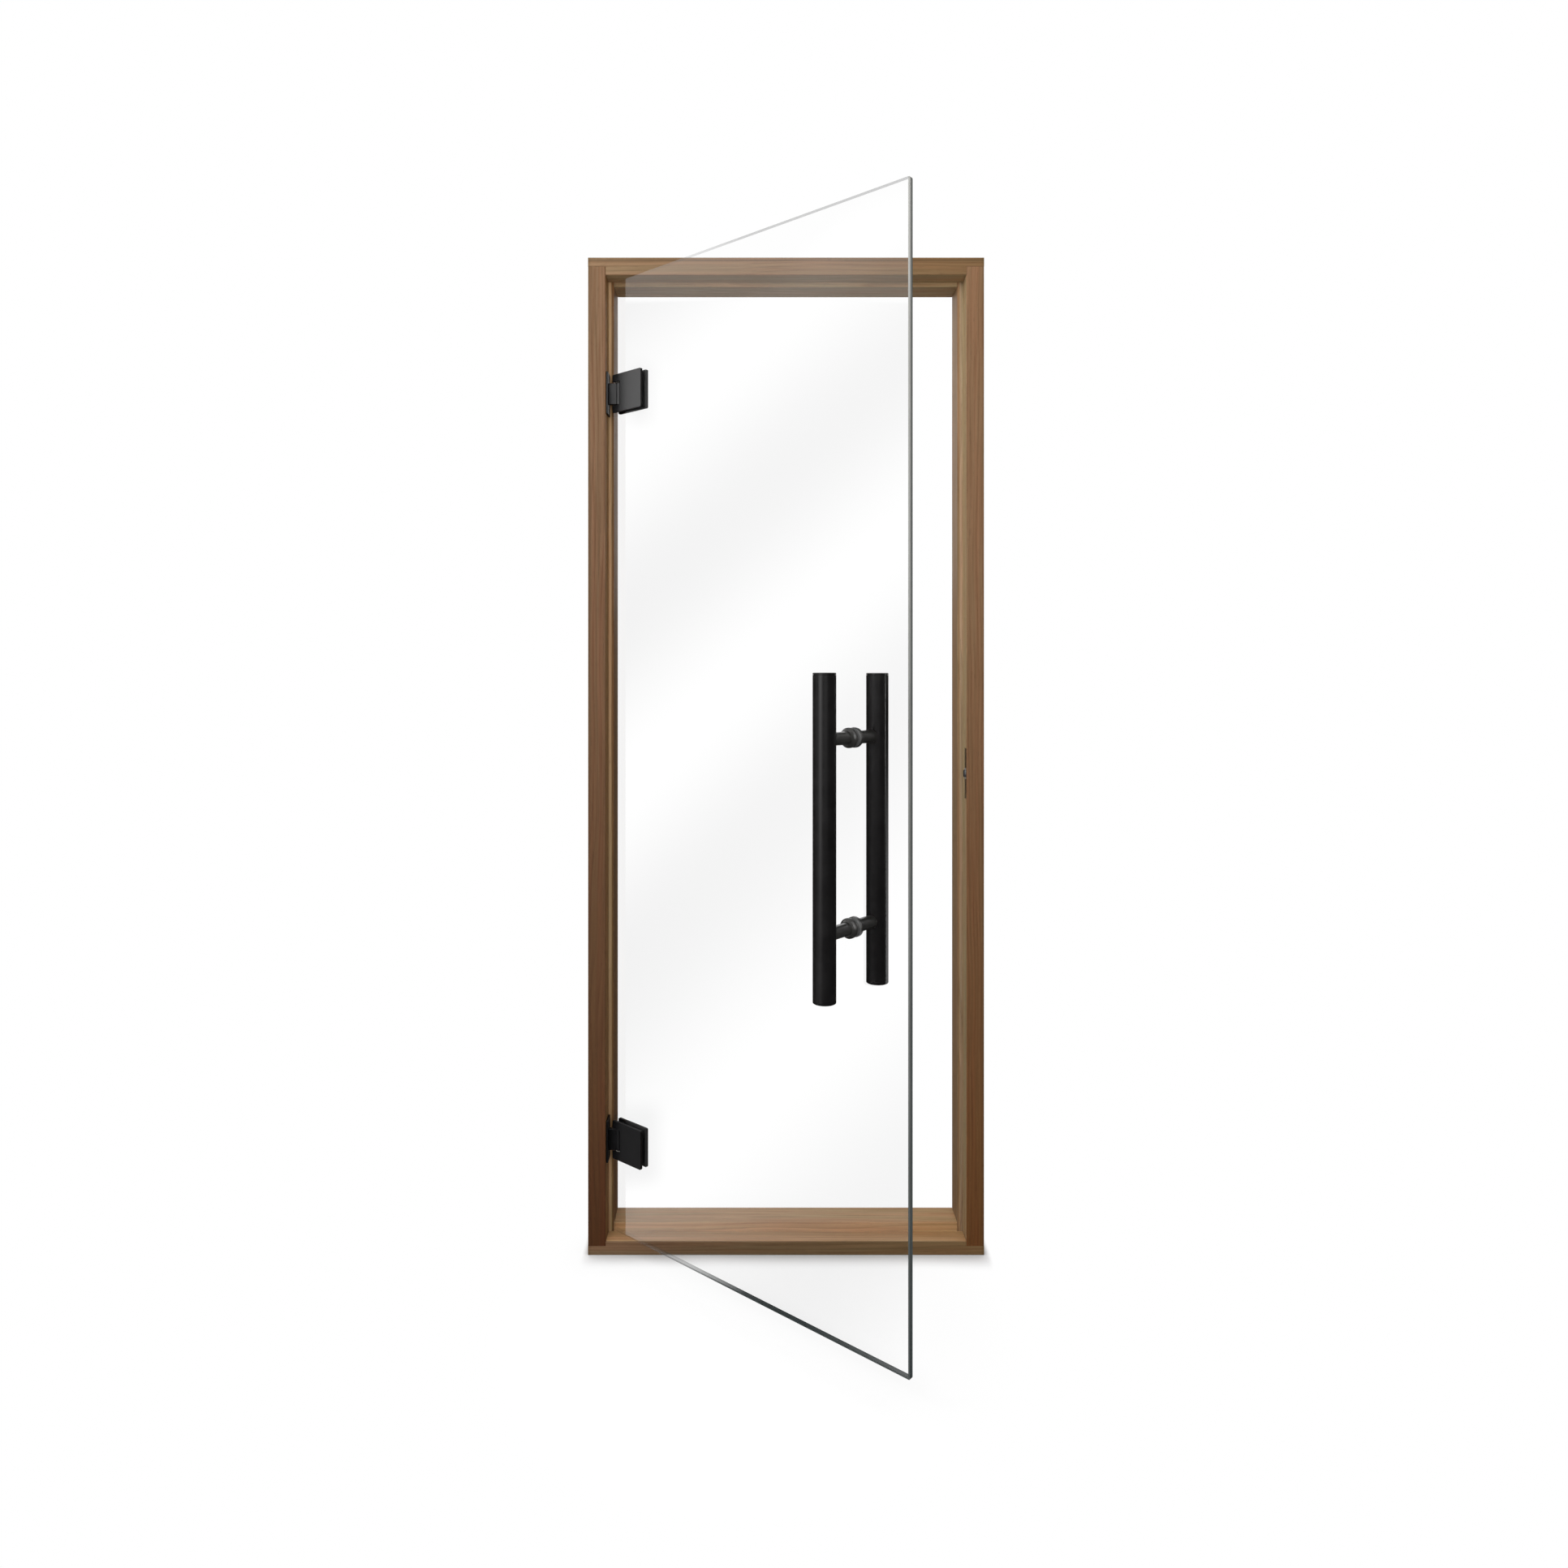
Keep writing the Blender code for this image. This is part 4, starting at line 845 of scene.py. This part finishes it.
clamp_screw = make_screw("clamp_screw", 0.0049, 0.0021, 0.0120, "hexagon")
clamp_screw.data.materials.append(screw_coat)
number = 0
for level, height in HINGE_HEIGHTS.items():
    for rise in (-CLAMP_SCREW_RISE, CLAMP_SCREW_RISE):
        number += 1
        place = DOOR_PLACE @ Matrix.Translation((CLAMP_SCREW_U, CLAMP_FACE_V - SUNK, height + rise))
        place = place @ Matrix.Rotation(-math.pi / 2, 4, "X") @ Matrix.Rotation(0.4 * number, 4, "Z")
        screw = copy_to(clamp_screw, f"clamp_screw_{number}", place)
        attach(screw, "door")
bpy.data.objects.remove(clamp_screw, do_unlink=True)


# Pull handles. Two black tubes back to back, closed by pressed caps, each on two posts. A stud
# joins each pair of posts through the glass, between soft pads and flared collars.
HANDLE_HEIGHT = 0.895
HANDLE_HALF = 0.265
STANDOFF = 0.075
TUBE_RADIUS = 0.019
TUBE_BORE = 0.0175
TUBE_SIDES = 96
CAP_THICKNESS = 0.003
CAP_ROUNDING = 0.0014
POST_RADIUS = 0.011
POST_FOOT = 0.0056
PAD_FOOT = 0.0043
PAD_RADIUS = 0.016
PAD_BORE = 0.006
COLLAR_RADIUS = 0.017
STUD_RADIUS = 0.0040
THREAD_ROOT = 0.0034
THREAD_PITCH = 0.0007
SMALL = 0.0003

handle_coat = make_black_coat("handle powder coat", 0.33, 0.12, (0.0082, 0.0076, 0.0078))
collar_coat = make_black_coat("collar coat", 0.30, 0.75, (0.026, 0.025, 0.023))

tube_end = HANDLE_HALF - CAP_THICKNESS - SMALL
tube = turn_piece(
    "tube",
    [
        (TUBE_RADIUS - SMALL, -tube_end),
        (TUBE_RADIUS, SMALL - tube_end),
        (TUBE_RADIUS, tube_end - SMALL),
        (TUBE_RADIUS - SMALL, tube_end),
        (TUBE_BORE, tube_end),
        (TUBE_BORE, -tube_end),
        (TUBE_RADIUS - SMALL, -tube_end),
    ],
    TUBE_SIDES,
)
cap_seat = HANDLE_HALF - CAP_THICKNESS
plug_radius = TUBE_BORE - SMALL
cap_stations = [
    (plug_radius - 0.0006, cap_seat - 0.010),
    (plug_radius, cap_seat - 0.0094),
    (plug_radius, cap_seat),
    (TUBE_RADIUS - SMALL, cap_seat),
    (TUBE_RADIUS, cap_seat + SMALL),
]
for step in range(6):
    angle = math.radians(90 * step / 5)
    radius = TUBE_RADIUS - CAP_ROUNDING + CAP_ROUNDING * math.cos(angle)
    cap_stations.append((radius, HANDLE_HALF - CAP_ROUNDING + CAP_ROUNDING * math.sin(angle)))
cap = turn_piece("cap", cap_stations, TUBE_SIDES)
post = turn_piece("post", [(POST_RADIUS, POST_FOOT), (POST_RADIUS, STANDOFF)], 64)
bpy.ops.object.select_all(action="DESELECT")
bpy.ops.mesh.primitive_cylinder_add(
    vertices=TUBE_SIDES,
    radius=TUBE_RADIUS + SMALL,
    depth=0.2,
    location=(0, 0, STANDOFF),
    rotation=(math.pi / 2, 0, 0),
)
cut_away(post, bpy.context.object)
bpy.context.view_layer.objects.active = post
post.select_set(True)
bpy.ops.object.shade_smooth_by_angle(angle=SMOOTH_ANGLE)
collar = turn_piece(
    "collar",
    [
        (POST_RADIUS + SMALL, POST_FOOT),
        (COLLAR_RADIUS - 0.0006, POST_FOOT),
        (COLLAR_RADIUS, POST_FOOT + 0.0006),
        (COLLAR_RADIUS, POST_FOOT + 0.0044),
        (COLLAR_RADIUS - 0.0004, POST_FOOT + 0.0052),
        (COLLAR_RADIUS - 0.0018, POST_FOOT + 0.0062),
        (COLLAR_RADIUS - 0.0034, POST_FOOT + 0.0080),
        (POST_RADIUS + 0.0015, POST_FOOT + 0.0106),
        (POST_RADIUS + 0.0012, POST_FOOT + 0.0110),
        (POST_RADIUS + SMALL, POST_FOOT + 0.0110),
        (POST_RADIUS + SMALL, POST_FOOT),
    ],
    64,
)
pad = turn_piece(
    "pad",
    [
        (PAD_BORE, PAD_FOOT),
        (PAD_RADIUS - 0.0002, PAD_FOOT),
        (PAD_RADIUS, PAD_FOOT + 0.0002),
        (PAD_RADIUS, PAD_FOOT + 0.0008),
        (PAD_RADIUS - 0.0002, PAD_FOOT + 0.0010),
        (PAD_BORE, PAD_FOOT + 0.0010),
        (PAD_BORE, PAD_FOOT),
    ],
    64,
)
stud_reach = POST_FOOT + 0.012
thread = [(THREAD_ROOT, -stud_reach), (STUD_RADIUS, 0.0006 - stud_reach), (STUD_RADIUS, -0.0040)]
for step in range(10):
    radius = THREAD_ROOT if step % 2 == 0 else STUD_RADIUS
    thread.append((radius, -0.0034 + THREAD_PITCH * step))
thread += [(STUD_RADIUS, 0.0040), (STUD_RADIUS, stud_reach - 0.0006), (THREAD_ROOT, stud_reach)]
stud = turn_piece("stud", thread, 32)
tube.data.materials.append(handle_coat)
cap.data.materials.append(handle_coat)
post.data.materials.append(collar_coat)
collar.data.materials.append(collar_coat)
pad.data.materials.append(make_rubber("grey pad rubber", (0.13, 0.13, 0.13, 1), (0.19, 0.19, 0.188, 1)))
stud.data.materials.append(steel)

for side, sign in (("outer", -1), ("inner", 1)):
    bar = DOOR_PLACE @ Matrix.Translation((HANDLE_U, sign * STANDOFF, HANDLE_HEIGHT))
    piece = copy_to(tube, f"{side}_pull_tube", bar)
    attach(piece, "door")
    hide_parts(f"{side}_handle_tube")
    for end, turn in (("top", 0), ("bottom", math.pi)):
        piece = copy_to(cap, f"{side}_{end}_pull_cap", bar @ Matrix.Rotation(turn, 4, "X"))
        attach(piece, "door")
        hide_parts(f"{side}_handle_{end}_cap")
    for level, height in POST_HEIGHTS.items():
        foot = DOOR_PLACE @ Matrix.Translation((HANDLE_U, 0, height))
        foot = foot @ Matrix.Rotation(-sign * math.pi / 2, 4, "X")
        for model, word, slot_name in (
            (post, "post", "black_metal"),
            (collar, "collar", "black_metal"),
            (pad, "pad", "grey_rubber"),
        ):
            piece = copy_to(model, f"{side}_{level}_pull_{word}", foot)
            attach(piece, "door")
            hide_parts(f"{side}_{level}_{word}")
for level, height in POST_HEIGHTS.items():
    foot = DOOR_PLACE @ Matrix.Translation((HANDLE_U, 0, height)) @ Matrix.Rotation(math.pi / 2, 4, "X")
    piece = copy_to(stud, f"{level}_pull_stud", foot)
    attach(piece, "door")
    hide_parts(f"{level}_handle_stud")
for model in (tube, cap, post, collar, pad, stud):
    bpy.data.objects.remove(model, do_unlink=True)


# Roller catch. A bronzed case mortised in the latch jamb behind its faceplate, with a sprung
# nylon fork that carries a black roller. Two small cross-head screws hold the faceplate.
CATCH_HEIGHT = 0.960
CATCH_Y = -0.039
ROLLER_X = 0.3615
ROLLER_RADIUS = 0.006
ROLLER_HALF = 0.007
ROLLER_BORE = 0.0018
FACEPLATE_X = 0.360
CATCH_SCREW_RISE = 0.041

bronze, tree, surface = new_material("bronzed plate")
surface.inputs["Metallic"].default_value = 0.8
brushed = noise_of(tree, place_of(tree), 900.0, 3.0, stretch=0.04)
tint = blend_of(tree, brushed, (0.10, 0.072, 0.040, 1), (0.17, 0.128, 0.078, 1))
tree.links.new(tint, surface.inputs["Base Color"])
tree.links.new(ramp_of(tree, brushed, 0.0, 1.0, 0.34, 0.56), surface.inputs["Roughness"])
dress("catch_case", bronze)
dress("catch_fork", nylon)

roller_plastic = make_black_coat("black roller plastic", 0.36, 0.5, (0.016, 0.016, 0.017))
roller = turn_piece(
    "roller_blank",
    [
        (ROLLER_BORE, -ROLLER_HALF),
        (ROLLER_RADIUS - 0.0010, -ROLLER_HALF),
        (ROLLER_RADIUS - 0.0003, 0.0003 - ROLLER_HALF),
        (ROLLER_RADIUS, 0.0010 - ROLLER_HALF),
        (ROLLER_RADIUS, ROLLER_HALF - 0.0010),
        (ROLLER_RADIUS - 0.0003, ROLLER_HALF - 0.0003),
        (ROLLER_RADIUS - 0.0010, ROLLER_HALF),
        (ROLLER_BORE, ROLLER_HALF),
        (ROLLER_BORE, -ROLLER_HALF),
    ],
    48,
)
roller.data.materials.append(roller_plastic)
piece = copy_to(roller, "roller", Matrix.Translation((ROLLER_X, CATCH_Y, CATCH_HEIGHT)))
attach(piece, "catch")
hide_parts("catch_roller")
bpy.data.objects.remove(roller, do_unlink=True)

catch_screw = make_screw("catch_screw", 0.0031, 0.0015, 0.0040, "cross")
catch_screw.data.materials.append(bronze)
for end, rise in (("upper", CATCH_SCREW_RISE), ("lower", -CATCH_SCREW_RISE)):
    place = Matrix.Translation((FACEPLATE_X + SUNK, CATCH_Y, CATCH_HEIGHT + rise))
    place = place @ Matrix.Rotation(-math.pi / 2, 4, "Y") @ Matrix.Rotation(6 * rise, 4, "Z")
    screw = copy_to(catch_screw, f"catch_screw_{end}", place)
    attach(screw, "frame")
bpy.data.objects.remove(catch_screw, do_unlink=True)
